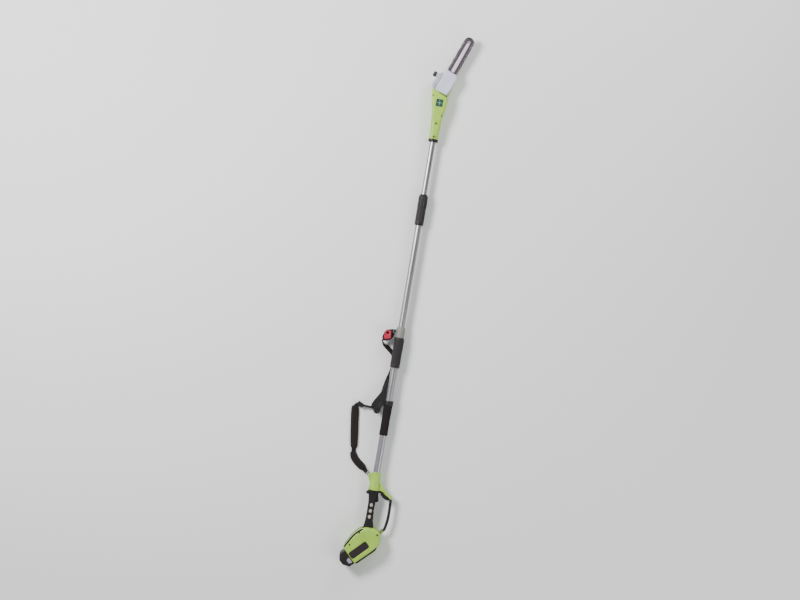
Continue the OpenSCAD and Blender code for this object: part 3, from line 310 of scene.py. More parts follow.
def collar(start, end, bore, wall, count):
    """Profile of a sleeve from its tail to its flared front, drilled through by closing along the bore."""
    r = bore + wall
    body = rolled([(start, bore), (start, r - 1.4), (start + 6, r - 0.7),
                   (start + (end - start) * 0.56, r - 0.8),
                   (start + (end - start) * 0.62, r), (end - 5, r), (end, r - 2.2), (end, bore)], 1.6, 5)
    along = np.linspace(start + 8, end - 8, 40)
    middle = np.stack([along, np.interp(along, body[3:-3, 0], body[3:-3, 1])], 1)
    rows = np.concatenate([body[body[:, 0] <= start + 8], middle, body[body[:, 0] >= end - 8]])
    return turned(rows, 216, ribs(count, 0.075, start + 12, end - 10))


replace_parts(skin("lower_sleeve", [collar(452, 585.4, 18.45, 4.0, 18)], "lower_collar", sleeve, loop=True),
            "lower_collar")
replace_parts(skin("upper_sleeve", [collar(1095, 1224.4, 16.85, 4.0, 16)], "upper_collar", sleeve, loop=True),
            "upper_collar")


def rounded(points, r, n=6):
    """Outline with each corner turned on a radius: centre + r (cos a, sin a) from one tangent point to the
    next."""
    p = np.asarray(points, float)
    a, b = np.roll(p, 1, 0) - p, np.roll(p, -1, 0) - p
    la, lb = np.linalg.norm(a, axis=1), np.linalg.norm(b, axis=1)
    u, v = a / la[:, None], b / lb[:, None]
    half = np.arccos(np.clip((u * v).sum(1), -1, 1)) / 2
    reach = np.minimum(r / np.tan(half), 0.48 * np.minimum(la, lb))
    mid = (u + v) / np.maximum(np.linalg.norm(u + v, axis=1), 1e-6)[:, None]
    c = p + mid * (reach / np.cos(half))[:, None]
    s, e = p + u * reach[:, None] - c, p + v * reach[:, None] - c
    a0 = np.arctan2(s[:, 1], s[:, 0])
    sweep = (np.arctan2(e[:, 1], e[:, 0]) - a0 + np.pi) % (2 * np.pi) - np.pi
    t = a0[:, None] + sweep[:, None] * np.linspace(0, 1, n)
    rr = (reach * np.tan(half))[:, None, None]
    return (c[:, None] + rr * np.stack([np.cos(t), np.sin(t)], -1)).reshape(-1, 2)


def inset(outline, d):
    """Outline moved inward by d: p - d (n1 + n2) / (1 + n1.n2), with n the outward normals of its two
    edges."""
    p = np.asarray(outline, float)
    e = np.roll(p, -1, 0) - p
    e = e / np.linalg.norm(e, axis=1)[:, None]
    area = (p[:, 0] * np.roll(p[:, 1], -1) - np.roll(p[:, 0], -1) * p[:, 1]).sum()
    n2 = np.stack([e[:, 1], -e[:, 0]], 1) * np.sign(area)
    n1 = np.roll(n2, 1, 0)
    return p - d * (n1 + n2) / (1 + (n1 * n2).sum(1))[:, None]


def level_ring(outline, d, z):
    """The outline pulled in by d, standing at height z."""
    return np.column_stack([inset(outline, d), np.broadcast_to(z, len(outline))])


def moulded(outline, z0, z1, top, foot=None, steps=5):
    """Closed slab with rolled edges: row t is the outline pulled in by r (1 - cos t), r (1 - sin t) short of
    the face, with r the top's roll or the foot's."""
    rows = []
    for z, r, up in ((z0, top if foot is None else foot, -1), (z1, top, 1)):
        t = np.linspace(0, np.pi / 2, steps)
        side = [(r * (1 - math.cos(a)), z - up * r * (1 - math.sin(a))) for a in t] + [(r + 0.35, z)]
        rows += side[::-1] if up < 0 else side
    return np.stack([level_ring(outline, d, z) for d, z in rows])


def oblong(x0, y0, x1, y1, r):
    """Rectangle with rounded corners, from one corner to the opposite one."""
    return rounded([(x0, y0), (x1, y0), (x1, y1), (x0, y1)], r)


def lock_body(start, end, r, nose_r, nose_end, bore):
    """Profile of the fixed lock body: tail flange, plain barrel under the collar, nose and the inner
    tube's bore."""
    return rolled([(start - 3.4, bore), (start - 3.4, r + 1.1), (start - 0.6, r + 1.1), (start - 0.4, r),
                   (end + 0.2, r),
                   (end + 0.4, nose_r), (end + 6, nose_r), (nose_end - 4, nose_r - 0.6), (nose_end, nose_r - 3),
                   (nose_end, bore)], 1.0, 4)


front_eye = np.array([612.0, 27.0])
lug = rounded(front_eye + [(-12, -13), (12, -13), (7, 6.4), (-7, 6.4)], 4)


def holed(outline, centre, r, z0, z1, top, steps=4):
    """Slab with rolled edges and a round hole: rows go from the hole's wall over the face, down the side
    and back."""
    p = np.asarray(outline, float)
    area = (p[:, 0] * np.roll(p[:, 1], -1) - np.roll(p[:, 0], -1) * p[:, 1]).sum()
    p = p if area > 0 else p[::-1]
    a = np.unwrap(np.arctan2(p[:, 1] - centre[1], p[:, 0] - centre[0]))
    t = np.linspace(0, np.pi / 2, steps)

    def hole(rr, z):
        return np.column_stack([centre[0] + rr * np.cos(a), centre[1] + rr * np.sin(a), np.full(len(a), z)])

    def rim(d, z):
        return level_ring(p, d, z)
    rows = [hole(r, (z0 + z1) / 2), hole(r, z1 - 0.6), hole(r + 0.2, z1 - 0.15), hole(r + 0.6, z1),
            rim(top + 0.2, z1)]
    rows += [rim(top * (1 - math.sin(s)), z1 - top * (1 - math.cos(s))) for s in t]
    rows += [rim(top * (1 - math.cos(s)), z0 + top * (1 - math.sin(s))) for s in t]
    rows += [rim(top + 0.2, z0), hole(r + 0.6, z0), hole(r + 0.2, z0 + 0.15), hole(r, z0 + 0.6)]
    return np.stack(rows)


nose = skin("lower_lock_nose",
            [turned(lock_body(452, 586, 18.2, 19.5, 634, 14.8), 96), holed(lug, front_eye, 3.3, -4, 4, 1.2)],
            "rear_unit", grey, loop=True)
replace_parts(nose, "lower_lock_body")
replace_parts(skin("upper_lock_core", [turned(lock_body(1095, 1225, 16.6, 17.4, 1229, 13.25), 96)],
                 "middle_section", black,
                 loop=True), "upper_lock_body")
nylon = plastic("white nylon", (0.78, 0.77, 0.74), 0.4, 1200.0, 0.15, 0.2)
dress(nylon, "middle_guide", "upper_guide")

# ---- Rear housing
# Green nylon shells that hold the battery: a cup lying at 45 degrees behind the grip, screwed together from
# the side, with a sunk window on each side and a deep pocket for the pack.
green = plastic("lime nylon", (0.34, 0.56, 0.055), 0.34, 1400.0, 0.22, 0.5, worn=(0.62, 0.78, 0.25),
                Coat_Weight=0.12,
                Coat_Roughness=0.3)


def bay(a, q, z):
    """Bay coordinates to pole ones: a runs to the battery's free end and q across it, both at 45 degrees."""
    return np.stack(np.broadcast_arrays(-(a + q) / math.sqrt(2), (a - q) / math.sqrt(2), z), -1)


def curve(t, knots, values):
    """Smooth curve through values at knots: cubic pieces whose slope at a knot is the harmonic mean of the
    two slopes beside it, or zero at a peak."""
    t, k, v = np.asarray(t, float), np.asarray(knots, float), np.asarray(values, float)
    v = v.reshape(len(k), -1)
    h = np.diff(k)[:, None]
    d = np.diff(v, axis=0) / h
    both = d[1:] * d[:-1] > 0
    m = np.vstack([d[:1], np.where(both, 2 * d[1:] * d[:-1] / np.where(both, d[1:] + d[:-1], 1), 0), d[-1:]])
    i = np.clip(np.searchsorted(k, t, side="right") - 1, 0, len(k) - 2)
    u = ((t - k[i]) / (k[i + 1] - k[i]))[:, None]
    return (v[i] * (1 + 2 * u) * (1 - u) ** 2 + h[i] * m[i] * u * (1 - u) ** 2
            + v[i + 1] * u * u * (3 - 2 * u) + h[i] * m[i + 1] * u * u * (u - 1))


def round_box(y0, y1, z0, z1, r, arc=8, flat=(90, 34, 90, 34)):
    """Rounded rectangles, one row of (y, z) points per station: quarter circles of radius r about each inner
    corner, and even steps straight on to the next corner."""
    y0, y1, z0, z1, r = (np.asarray(v, float).reshape(-1, 1) for v in np.broadcast_arrays(y0, y1, z0, z1, r))
    arcs = []
    for k, (cy, cz) in enumerate(((y1 - r, z1 - r), (y0 + r, z1 - r), (y0 + r, z0 + r), (y1 - r, z0 + r))):
        t = (k + np.linspace(0, 1, arc)) * np.pi / 2
        arcs.append(np.stack([cy + r * np.cos(t), cz + r * np.sin(t)], -1))
    rows = []
    for k, n in enumerate(flat):
        s = np.linspace(0, 1, n + 2)[1:-1][:, None]
        rows += [arcs[k], arcs[k][:, -1:] * (1 - s) + arcs[(k + 1) % 4][:, :1] * s]
    return np.concatenate(rows, 1)


def window(u, v, centre, half, r):
    """Signed distance to a rounded rectangle: |max(q, 0)| + min(max(q), 0) - r, with
    q = |p - centre| - half + r."""
    q = np.stack([np.abs(u - centre[0]) - half[0] + r, np.abs(v - centre[1]) - half[1] + r], -1)
    return np.linalg.norm(np.maximum(q, 0), axis=-1) + np.minimum(q.max(-1), 0) - r


def sink(z, gap, depth, blend=0.9):
    """Moves z towards the middle plane by depth wherever gap is negative, over a short slope."""
    return z - np.sign(z) * depth * np.clip(0.5 - gap / blend, 0, 1)


panel_at, panel_half = (275.5, 246), (47.5, 17.2)
rear_screws = [(-292, 32), (-290, -48), (-352, 66)]
stations = [158, 160, 163, 168, 176, 192, 212, 236, 262, 300, 318, 323, 325]
low_q = [232, 224, 216, 207, 199.5, 184, 176.5, 174.5, 177, 187, 192, 194.5, 197]
high_q = [240, 246, 252, 259, 268, 281, 287, 289, 288.6, 288, 287.6, 286.6, 285]
half_z = [26, 31, 34.5, 37.4, 39.2, 40, 40, 40, 40, 40, 40, 39.4, 38.4]
a_rows = np.concatenate([np.linspace(158, 170, 14), np.linspace(171, 317, 150), np.linspace(318, 325, 12)])
shape = curve(a_rows, stations, np.stack([low_q, high_q, half_z], 1))
corner = np.minimum(13.0, 0.45 * (shape[:, 1] - shape[:, 0]))
wall = round_box(shape[:, 0], shape[:, 1], -shape[:, 2], shape[:, 2], corner)
wall_a = np.broadcast_to(a_rows[:, None], wall.shape[:2])
flat_side = np.abs(wall[..., 1]) > shape[:, 2:3] - 0.4
side_z = np.where(flat_side, sink(wall[..., 1], window(wall_a, wall[..., 0], panel_at, panel_half, 8), 2.4),
                  wall[..., 1])
spot = bay(wall_a, wall[..., 0], 0 * wall_a)
for sx, sy in rear_screws:
    hole = np.hypot(spot[..., 0] - sx, spot[..., 1] - sy) - 4.6
    side_z = np.where(flat_side & (wall[..., 1] > 0), sink(side_z, hole, 3.0, 1.0), side_z)
outside = bay(wall_a, wall[..., 0], side_z)
pocket_q, pocket_z = np.moveaxis(round_box(207.7, 282.3, -37.1, 37.1, 4.0)[0], -1, 0)
inside = np.stack([bay(a, pocket_q, pocket_z) for a in (324.4, 323.4, 300, 237, 235.9)])
housing = skin("rear_housing", [np.concatenate([outside, inside])], "rear_unit", green)
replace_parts(housing, "rear_shell_left", "rear_shell_right")

# ---- Neck and guard horn
# The shells' front half: a round neck that clamps the pole, a thick lug with the rear strap's eye, and the
# narrow bridge that runs down to the hand guard and shades the trigger.
neck_rows = rolled([(-19.9, 16.1), (-19.9, 18.9), (-22, 20), (-50, 21.5), (-74, 24.2), (-92, 26.2), (-99.6, 26),
                    (-99.6, 11.2), (-91, 11.2), (-91, 16.1)], 3.0, 8)
rear_eye = np.array([-38.0, 28.0])
neck_lug = rounded(rear_eye + [(-34, -11), (14, -11), (8, 4), (0, 8), (-10, 6), (-34, -6)], 5)
horn = rounded([(-62, -17), (-62, -22), (-104, -62), (-114, -84), (-129, -86), (-129, -74), (-116, -56),
                (-100.4, -40),
                (-100.4, -17)], 3)


def ribbed_neck(t, at):
    """Radius factor with shallow rings near the pole's mouth: 1 - 0.012 cos(2 pi x / 5) where that is
    above 0."""
    return 1 - 0.012 * np.clip(np.cos((at + 26) * 2 * np.pi / 5), 0, 1) * (np.abs(at + 31) < 7)


skin("rear_neck", [turned(spread(neck_rows, 90), 96, ribbed_neck)], "rear_unit", green, loop=True)
skin("strap_lug", [holed(neck_lug, rear_eye, 3.3, -4.2, 4.2, 1.6)], "rear_unit", green, loop=True)
skin("guard_horn", [moulded(horn, -9, 9, 2.6)], "rear_unit", green)
screw_metal = metal("blackened screw", (0.10, 0.11, 0.10), 0.38, (300, 300, 300), 0.15)
dress(screw_metal, "rear_screws")

# ---- Grip
# Soft black rubber moulded over the grip's core: waisted for the hand, flared against the housing, with a
# trigger slot below, a lock-off slot above, and three sunk ovals on each side for the light inserts.
rubber = plastic("grip rubber", (0.010, 0.008, 0.009), 0.60, 1100.0, 0.6, 0.15, Specular_IOR_Level=0.3)
grip_x = np.concatenate([np.linspace(-275, -262, 14), np.linspace(-261, -110, 160),
                         np.linspace(-109, -100.4, 12)])
grip = curve(grip_x, [-275, -272, -266, -256, -229, -190, -153, -126, -116, -108, -100.4],
             [(-33, 24.5, 15.2), (-33, 24, 15.8), (-28, 20, 16.4), (-23.5, 18.6, 16.5), (-18.3, 15.6, 16.5),
              (-15.6, 15.4, 16.5),
              (-16.4, 16, 16.5), (-18.4, 19.3, 16.5), (-21, 23, 16.6), (-24, 26.2, 17.4), (-26, 24.2, 17.2)])
palm = round_box(grip[:, 0], grip[:, 1], -grip[:, 2], grip[:, 2], 10.5, arc=12, flat=(48, 44, 48, 44))
palm_x = np.broadcast_to(grip_x[:, None], palm.shape[:2])
palm_y, palm_z = palm[..., 0], palm[..., 1]
swell = 0.5 * np.sin((palm_x + 240) * 2 * np.pi / 22) * (palm_y < -8) * np.clip((palm_x + 262) / 12, 0, 1) \
    * np.clip((-166 - palm_x) / 8, 0, 1)
palm_y = palm_y + swell
OVALS = (-165, -191.5, -218)
for oval_x in OVALS:
    gap = (np.hypot((palm_x - oval_x) / 8.2, palm_y / 6.6) - 1) * 7
    palm_z = np.where(np.abs(palm_z) > 12, sink(palm_z, gap, 1.3, 1.1), palm_z)
under = window(palm_x, palm_z, (-128, 0), (26.2, 7.0), 2)
palm_y = np.where(palm_y < -6, palm_y + np.clip(0.5 - under / 1.0, 0, 1) * (0.8 - palm_y), palm_y)
above = window(palm_x, palm_z, (-113, 0), (9.0, 5.0), 2)
palm_y = np.where(palm_y > 8, palm_y - np.clip(0.5 - above / 1.0, 0, 1) * (palm_y - 12.4), palm_y)
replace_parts(skin("grip_rubber_cover", [np.stack([palm_x, palm_y, palm_z], -1)], "rear_unit", rubber),
            "grip_cover")
turn = np.linspace(0, 2 * np.pi, 40, endpoint=False)
oval = np.stack([np.cos(turn), np.sin(turn)], 1)
light = plastic("light insert", (0.42, 0.41, 0.33), 0.5, 1500.0, 0.2, 0.2)
inserts = [moulded(oval * (8.0, 6.4) + (x, 0), low, high, 0.6)
           for x in OVALS for low, high in ((15.2, 16.8), (-18.0, -15.2))]
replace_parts(skin("grip_ovals", inserts, "rear_unit", light), "grip_inserts")
underside = rounded([(-99.9, -22), (-96.5, -30), (-104, -43), (-113, -56), (-121, -71),
                      (-130, -80), (-135.5, -71), (-133, -58), (-127, -45), (-119, -36), (-108, -31),
                      (-106, -22)], 3)
skin("horn_liner", [moulded(underside, -11.6, 11.6, 2.2)], "rear_unit", rubber)

# ---- Hand guard
# Black bar from the horn down to the housing, round in section so that it is kind to the knuckles, with the
# green link that joins its lower end to the housing.
guard_line = curve(np.linspace(0, 1, 60), [0, 0.1, 0.55, 0.9, 1],
                   [(-121, -77), (-136, -81.6), (-200, -83.2), (-262, -75.4), (-275, -66)])


def swept(path, wide, high, n=28, power=2.6):
    """Closed bar along a flat path: at each point a superellipse |cos|^(2/p), |sin|^(2/p), wide across and
    high in z."""
    t = np.linspace(0, 2 * np.pi, n, endpoint=False)
    c, s = (np.sign(f) * np.abs(f) ** (2 / power) for f in (np.cos(t), np.sin(t)))
    along = np.gradient(path, axis=0)
    along = along / np.linalg.norm(along, axis=1)[:, None]
    side = np.stack([-along[:, 1], along[:, 0]], 1)
    close = np.sqrt(np.clip(1 - np.linspace(-1, 1, len(path)) ** 40, 0.05, 1))[:, None]
    xy = path[:, None] + side[:, None] * (wide / 2 * close * c)[..., None]
    return np.concatenate([xy, (high / 2 * close * s)[..., None]], -1)


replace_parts(skin("knuckle_guard", [swept(guard_line, 13, 16, 36)], "rear_unit", black), "hand_guard")
link_line = curve(np.linspace(0, 1, 24), [0, 0.5, 1], [(-268, -69.5), (-278, -60), (-290, -52)])
olive = plastic("olive nylon", (0.14, 0.19, 0.045), 0.45, 1400.0, 0.25, 0.4)
skin("guard_link", [swept(link_line, 15.5, 15, 28, 3.5)], "rear_unit", olive)

# ---- Side panels and edge bumpers
# A dark ribbed panel in each side window, a small pale patch on the battery just past the housing's mouth,
# and rubber bumper strips let into the housing's two long edges.
dark = plastic("panel plastic", (0.024, 0.016, 0.017), 0.4, 1500.0, 0.25, 0.4, Specular_IOR_Level=0.35)
panel_shape = oblong(228.4, 229.4, 322.8, 262.6, 9)


def to_bay(grid):
    """Turns a slab drawn in (a, q, z) into pole coordinates."""
    return bay(grid[..., 0], grid[..., 1], grid[..., 2])


panels = [to_bay(moulded(panel_shape, side * 38.2 - 0.9, side * 38.2 + 0.9, 0.7)) for side in (1, -1)]
panels += [to_bay(moulded(oblong(246 + 14 * k, 234, 250 + 14 * k, 258, 1.2),
                          side * 39.2 - 0.6, side * 39.2 + 0.6, 0.5)) for side in (1, -1) for k in range(5)]
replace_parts(skin("window_panels", panels, "rear_unit", dark), "side_panels")
# A thin pale slab on the pack's face, just past the housing's mouth.
patch = plastic("pale patch", (0.30, 0.27, 0.33), 0.5, 1500.0, 0.2, 0.2)
patch_shape = rounded([(330, 246), (346, 250), (346, 268), (330, 274)], 3)
skin("pale_battery_patch", [to_bay(moulded(patch_shape, 35.6, 38.7, 0.6))], "battery", patch)
bumper = plastic("bumper rubber", (0.007, 0.007, 0.007), 0.6, 1100.0, 0.5, 0.1, Specular_IOR_Level=0.25)
edge_a = np.linspace(206, 322, 50)
edge_q = curve(edge_a, stations, np.stack([low_q, high_q], 1))
strips = []
for side in (1, -1):
    for q, pull in ((edge_q[:, 0], 1), (edge_q[:, 1], -1)):
        core = np.stack([edge_a, q + pull * 3.0, np.full(50, side * 35.6)], 1)
        t = np.linspace(0, 2 * np.pi, 16, endpoint=False)
        r = 4.3 * np.sqrt(np.clip(1 - np.linspace(-1, 1, 50) ** 20, 0.02, 1))[:, None]
        strips.append(to_bay(np.stack([edge_a[:, None] + 0 * t, core[:, 1:2] + r * np.cos(t),
                                       core[:, 2:] + r * np.sin(t)], -1)))
skin("edge_bumpers", strips, "rear_unit", bumper)

# ---- Battery
# The slide-in pack: black polycarbonate with rounded corners, grip ribs at its free end, a seam round its
# waist and a green latch button. Its inner pieces come with the part.
pack = plastic("pack plastic", (0.016, 0.013, 0.012), 0.38, 1500.0, 0.25, 0.4, Specular_IOR_Level=0.35)
pack_shape = rounded([(236.2, 208), (354, 208), (372, 232), (372, 256), (352, 282), (236.2, 282)], 6, 8)
pack_body = moulded(pack_shape, -36.8, 36.8, 5.5, steps=8)
rib_bars = [to_bay(moulded(oblong(334 + 6 * k, 226, 336.6 + 6 * k, 262 - 2 * k, 1.2),
                           side * 36.9 - 0.7, side * 36.9 + 0.7, 0.5)) for side in (1, -1) for k in range(5)]
waist = np.stack([level_ring(pack_shape, d, z)
                  for d, z in ((0.9, -1.6), (-0.35, -1.3), (-0.5, 0.0), (-0.35, 1.3), (0.9, 1.6))])
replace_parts(skin("pack_case", [to_bay(pack_body)] + rib_bars, "battery", pack), "battery_case")
skin("pack_seam", [to_bay(waist)], "battery", dark)
latch_shape = oblong(364.4, 236, 374.4, 252, 2)
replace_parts(skin("pack_latch", [to_bay(moulded(latch_shape, -13, 13, 1.6))], "battery_latch",
                 plastic("latch green", (0.16, 0.26, 0.03), 0.42, 1500.0, 0.25, 0.5)), "battery_latch")
dress(plastic("cell sleeve", (0.10, 0.22, 0.40), 0.3, 1500.0, 0.1, 0.2), "battery_cells")
dress(metal("terminal brass", (0.70, 0.50, 0.22), 0.3, (200, 200, 9), 0.2), "battery_terminals")
dress(plastic("board green", (0.03, 0.16, 0.06), 0.3, 2500.0, 0.3, 0.1), "control_board")

# ---- Trigger and lock-off button
# Curved black finger lever on a cross pin under the neck, and the thumb's lock-off button above it.
lever = rounded([(-104, -9), (-150, -9), (-151, -20), (-146, -29), (-138, -27.2), (-130, -26), (-116, -22.4),
                 (-104, -22)], 3)
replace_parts(skin("finger_trigger", [moulded(lever, -5.8, 5.8, 2.4)], "trigger", black), "trigger")
button = rounded([(-120, 13), (-106, 13), (-106, 29), (-112, 33), (-120, 30)], 2.5)
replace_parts(skin("lock_off", [moulded(button, -4.2, 4.2, 1.6)], "lock_button", black), "lock_button")
dress(dark, "trigger_switch")
spring = metal("spring steel", (0.55, 0.55, 0.56), 0.25, (300, 300, 300), 0.1)
dress(spring, "trigger_spring")
dress(plastic("cable sheath", (0.02, 0.02, 0.02), 0.5, 1300.0, 0.3, 0.1), "coiled_cable")

# ---- Head shell
# Slim green shells clamped round the upper tube that swell into the motor housing, cut off square to the bar
# where the chain cover begins; below them are the gearbox's belly and the floor that carries the bar.
SLOPE = math.radians(20)
SPROCKET = np.array([1725.97, -11.0])


def to_head(grid):
    """Turns a shape drawn in (b, c, z), along and across the bar, into pole coordinates."""
    b, c = grid[..., 0], grid[..., 1]
    return np.stack([SPROCKET[0] + b * math.cos(SLOPE) + c * math.sin(SLOPE),
                     SPROCKET[1] - b * math.sin(SLOPE) + c * math.cos(SLOPE), grid[..., 2]], -1)


s_rows = np.concatenate([np.linspace(0, 3, 6), np.linspace(4, 206, 190), np.linspace(207, 212, 6)])
body = curve(s_rows, [0, 2, 40, 80, 110, 140, 165, 190, 206, 212],
             [(-18.2, 17.8, -19, 18.6, 15), (-19.4, 18.8, -20, 20, 16), (-21, 20.5, -21, 21.6, 15),
              (-22.6, 23, -24, 24.6, 13),
              (-25, 25.4, -27.4, 28.6, 11.5), (-30.6, 29, -28, 29.8, 10.5), (-33.2, 34, -28, 30, 10),
              (-33.4, 39.6, -28, 30, 10),
              (-32.6, 41.2, -28, 29.8, 10), (-31.4, 40, -27, 28.4, 9)])
cut = round_box(body[:, 0], body[:, 1], body[:, 2], body[:, 3], body[:, 4], arc=12, flat=(60, 40, 60, 40))
y, z = cut[..., 0], cut[..., 1]
SHELL_START, CUT_START, CUT_RUN = 1474, 120, 92
s_column = s_rows[:, None]
slant = np.clip((s_column - CUT_START) / CUT_RUN, 0, 1) ** 1.4
x = SHELL_START + s_column + slant * (-y - 4) * -math.tan(SLOPE) * 0.92
top = (z > body[:, 3:4] - 0.5)
for sx, sy in ((1490, 0), (1549, 0), (1670, 33), (1586, -20)):
    z = np.where(top, sink(z, np.hypot(x - sx, y - sy) - 4.4, 3.0, 1.0), z)
z = np.where(top, sink(z, window(x, y, (1641, 0), (13.2, 12.2), 2.5), 2.2, 1.0), z)
shell = skin("head_shell", [np.stack([x, y, z], -1)], "saw_head", green)
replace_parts(shell, "head_shell_left", "head_shell_right")
chassis = rounded([(-44, -36), (28, -34), (58, -27), (58, 26), (42, 29), (-44, 29)], 8)
belly = rounded([(-82, -24), (20, -31), (36, -14), (36, 14), (20, 29), (-82, 24)], 12, 8)
skin("head_floor", [to_head(moulded(chassis, -22.6, 5, 2.4))], "saw_head", green)
skin("gearbox_belly", [to_head(moulded(belly, -40, -20, 1.0, foot=6.5))], "saw_head", green)
ring_shape = rolled([(1467.6, 13.2), (1467.6, 19.8), (1469, 21.4), (1479.6, 21.8), (1481.4, 20.6),
                     (1481.4, 13.2)], 1.0, 5)
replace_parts(skin("neck_clamp", [turned(ring_shape, 96)], "saw_head", black, loop=True), "neck_ring")
dress(screw_metal, "head_screws")
seam_line = rounded([(-47.4, -34), (-41.6, -34), (-41.6, 6), (-44.6, 6)], 1.0)
skin("cover_joint", [to_head(moulded(seam_line, -20, 30.0, 0.6))], "saw_head", dark)

# ---- Motor vent
# Square louvred grille let into the shell over the motor: a raised dark bezel with louvres behind it and two
# ribs that cross in the middle, coloured pale as a painted highlight.
vent_green = plastic("vent plastic", (0.010, 0.060, 0.050), 0.38, 1500.0, 0.25, 0.3)
frame_shape = oblong(1628.4, -11.6, 1653.6, 11.6, 2)
vent_parts = [moulded(frame_shape, 27.2, 28.7, 0.6)]
vent_parts += [moulded(oblong(1630.4, k * 4.2 - 1.2, 1651.6, k * 4.2 + 1.2, 0.8),
                       28.2, 29.9, 0.6) for k in range(-2, 3)]
for low, high in (((1624.6, -15.4), (1630.2, 15.4)), ((1651.8, -15.4), (1657.4, 15.4)),
                  ((1626, -15.4), (1656, -10.4)),
                  ((1626, 10.4), (1656, 15.4))):
    vent_parts.append(moulded(oblong(*low, *high, 1.6), 26.5, 31.4, 1.0))
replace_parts(skin("vent_grille", vent_parts, "saw_head", vent_green), "motor_vent")
# The crossing ribs are pale green as a painted highlight on the middle of the grille, not a colour of the grille.
vent_highlight_ribs = [moulded(oblong(1629.6, -1.2, 1652.4, 1.2, 1), 28.4, 31.2, 0.6),
             moulded(oblong(1639.8, -10.8, 1642.2, 10.8, 1), 28.4, 31.2, 0.6)]
skin("vent_highlight_cross", vent_highlight_ribs, "saw_head", plastic("painted highlight rib", (0.16, 0.42, 0.24), 0.4, 1500.0, 0.1, 0.2))

# ---- Chain cover
# Pale cover over the sprocket and the bar nuts: a moulded cup with a soft top edge, open towards the bar,
# with shallow finger grooves across it.
pale = plastic("cover nylon", (0.60, 0.59, 0.74), 0.36, 1500.0, 0.2, 0.3, worn=(0.8, 0.8, 0.85),
               Coat_Weight=0.15)
cover_outline = rounded([(-41.5, -30), (-4, -33), (40, -35), (60, -28), (62, 27), (50, 29.5), (-41.5, 29.5)],
                        8, 12)
around = np.linspace(0, 1, 240, endpoint=False)
closed = np.vstack([cover_outline, cover_outline[:1]])
lengths = travelled(closed)
even = np.stack([np.interp(around * lengths[-1], lengths, closed[:, k]) for k in (0, 1)], 1)
open_front = np.clip((even[:, 0] - 44) / 5, 0, 1) * np.clip((26.5 - np.abs(even[:, 1])) / 2.5, 0, 1)
rim = 5.3 + 9.5 * open_front
rows = [level_ring(even, 1.4, rim), level_ring(even, 0.4, rim + 0.3), level_ring(even, 0, rim + 1.2)]
rows += [level_ring(even, 0, rim + (21.5 - rim) * s) for s in (0.4, 0.8)]
rows += [level_ring(even, 7 * (1 - math.cos(t)), 21 + 7 * math.sin(t)) for t in np.linspace(0, np.pi / 2, 9)]
under_rows = [level_ring(even, 2.8, 15.2), level_ring(even, 2.4, rim + 0.6)]
middle, lid = np.array([6.0, -2.0]), inset(even, 7.0)
face = np.stack([level_ring(middle + (lid - middle) * s, 0, 28.0) for s in np.linspace(0.985, 0.02, 70)])
fz = face[..., 2]
for c0 in (-10.5, -2.5, 5.5):
    fz = sink(fz, window(face[..., 0], face[..., 1], (4, c0), (24, 1.8), 1.7), 0.9, 2.2)
face = np.concatenate([face[..., :2], fz[..., None]], -1)
cup = np.concatenate([np.stack(under_rows), np.stack(rows), face])
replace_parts(skin("chain_cover", [to_head(cup)], "saw_head", pale), "sprocket_cover")
nut_metal = metal("zinc plate", (0.62, 0.61, 0.57), 0.26, (300, 300, 300), 0.12)
dress(nut_metal, "tension_screw", "tension_pin")
dress(metal("pale nut plate", (0.72, 0.71, 0.80), 0.4, (300, 300, 300), 0.12), "bar_fasteners")

# ---- Oil tank and cap
# Milky tank on the bar's upper side, blow-moulded with one raised band, its filler neck closed by a black
# screw cap with a finger bar and knurled rim.
milk = plastic("milky tank", (0.66, 0.66, 0.76), 0.32, 900.0, 0.08, 0.1, worn=(0.85, 0.85, 0.9),
               Transmission_Weight=0.35,
               Subsurface_Weight=0.25, Subsurface_Radius=(0.010, 0.010, 0.012))
tank_outline = rounded([(-41.5, 30), (40, 30), (42, 38), (28, 50), (-28, 50), (-41.5, 38)], 5, 8)
tank = moulded(tank_outline, -22, 26, 4.5, steps=7)
band = rounded([(-34, 38), (30, 38), (32, 42), (24, 46), (-26, 46), (-34, 42)], 3)
neck_pipe = turned(rolled([(-3, 9.9), (4.6, 9.9), (5.0, 9.6), (5.0, 7.7), (-3, 7.7)], 0.4, 4), 64, axis="z")


def on_tank(grid, b, c):
    """Stands a shape that was turned about z on the tank: its axis runs out across the bar at b, from c."""
    return to_head(np.stack([b + grid[..., 0], c + grid[..., 2], -grid[..., 1]], -1))


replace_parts(skin("lube_tank", [to_head(tank), to_head(moulded(band, 25.4, 26.9, 0.7))], "saw_head", milk),
            "oil_tank")
skin("filler_neck", [on_tank(neck_pipe, 22, 51)], "saw_head", milk, loop=True)
skin("tank_strap", [to_head(moulded(oblong(-40, 27.8, -10, 31, 1.2), -18, 22, 1.0))],
     "saw_head", green)


def knurled(t, at):
    """Radius factor of the cap's rim: 24 shallow scallops, 1 - 0.05 |sin 12 t|."""
    return 1 - 0.05 * np.abs(np.sin(12 * t)) * ((at > 1.0) & (at < 10.4))


cap_profile = rolled([(-6.8, 0.2), (-6.8, 7.2), (0.2, 7.2), (0.2, 12.0), (0.9, 12.3), (9.6, 12.3),
                      (11.4, 10.8), (11.4, 0.2)], 0.7, 4)
cap_rows = spread(cap_profile, 80)
cap_green = plastic("cap plastic", (0.016, 0.030, 0.018), 0.4, 1500.0, 0.25, 0.5)
finger_bar = moulded(oblong(-10.6, -2.1, 10.6, 2.1, 1.6), 10.8, 14.6, 1.4)
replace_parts(skin("tank_cap",
                 [on_tank(turned(cap_rows, 144, knurled, "z"), 22, 56.2), on_tank(finger_bar, 22, 56.2)],
                 "oil_cap", cap_green), "oil_cap")
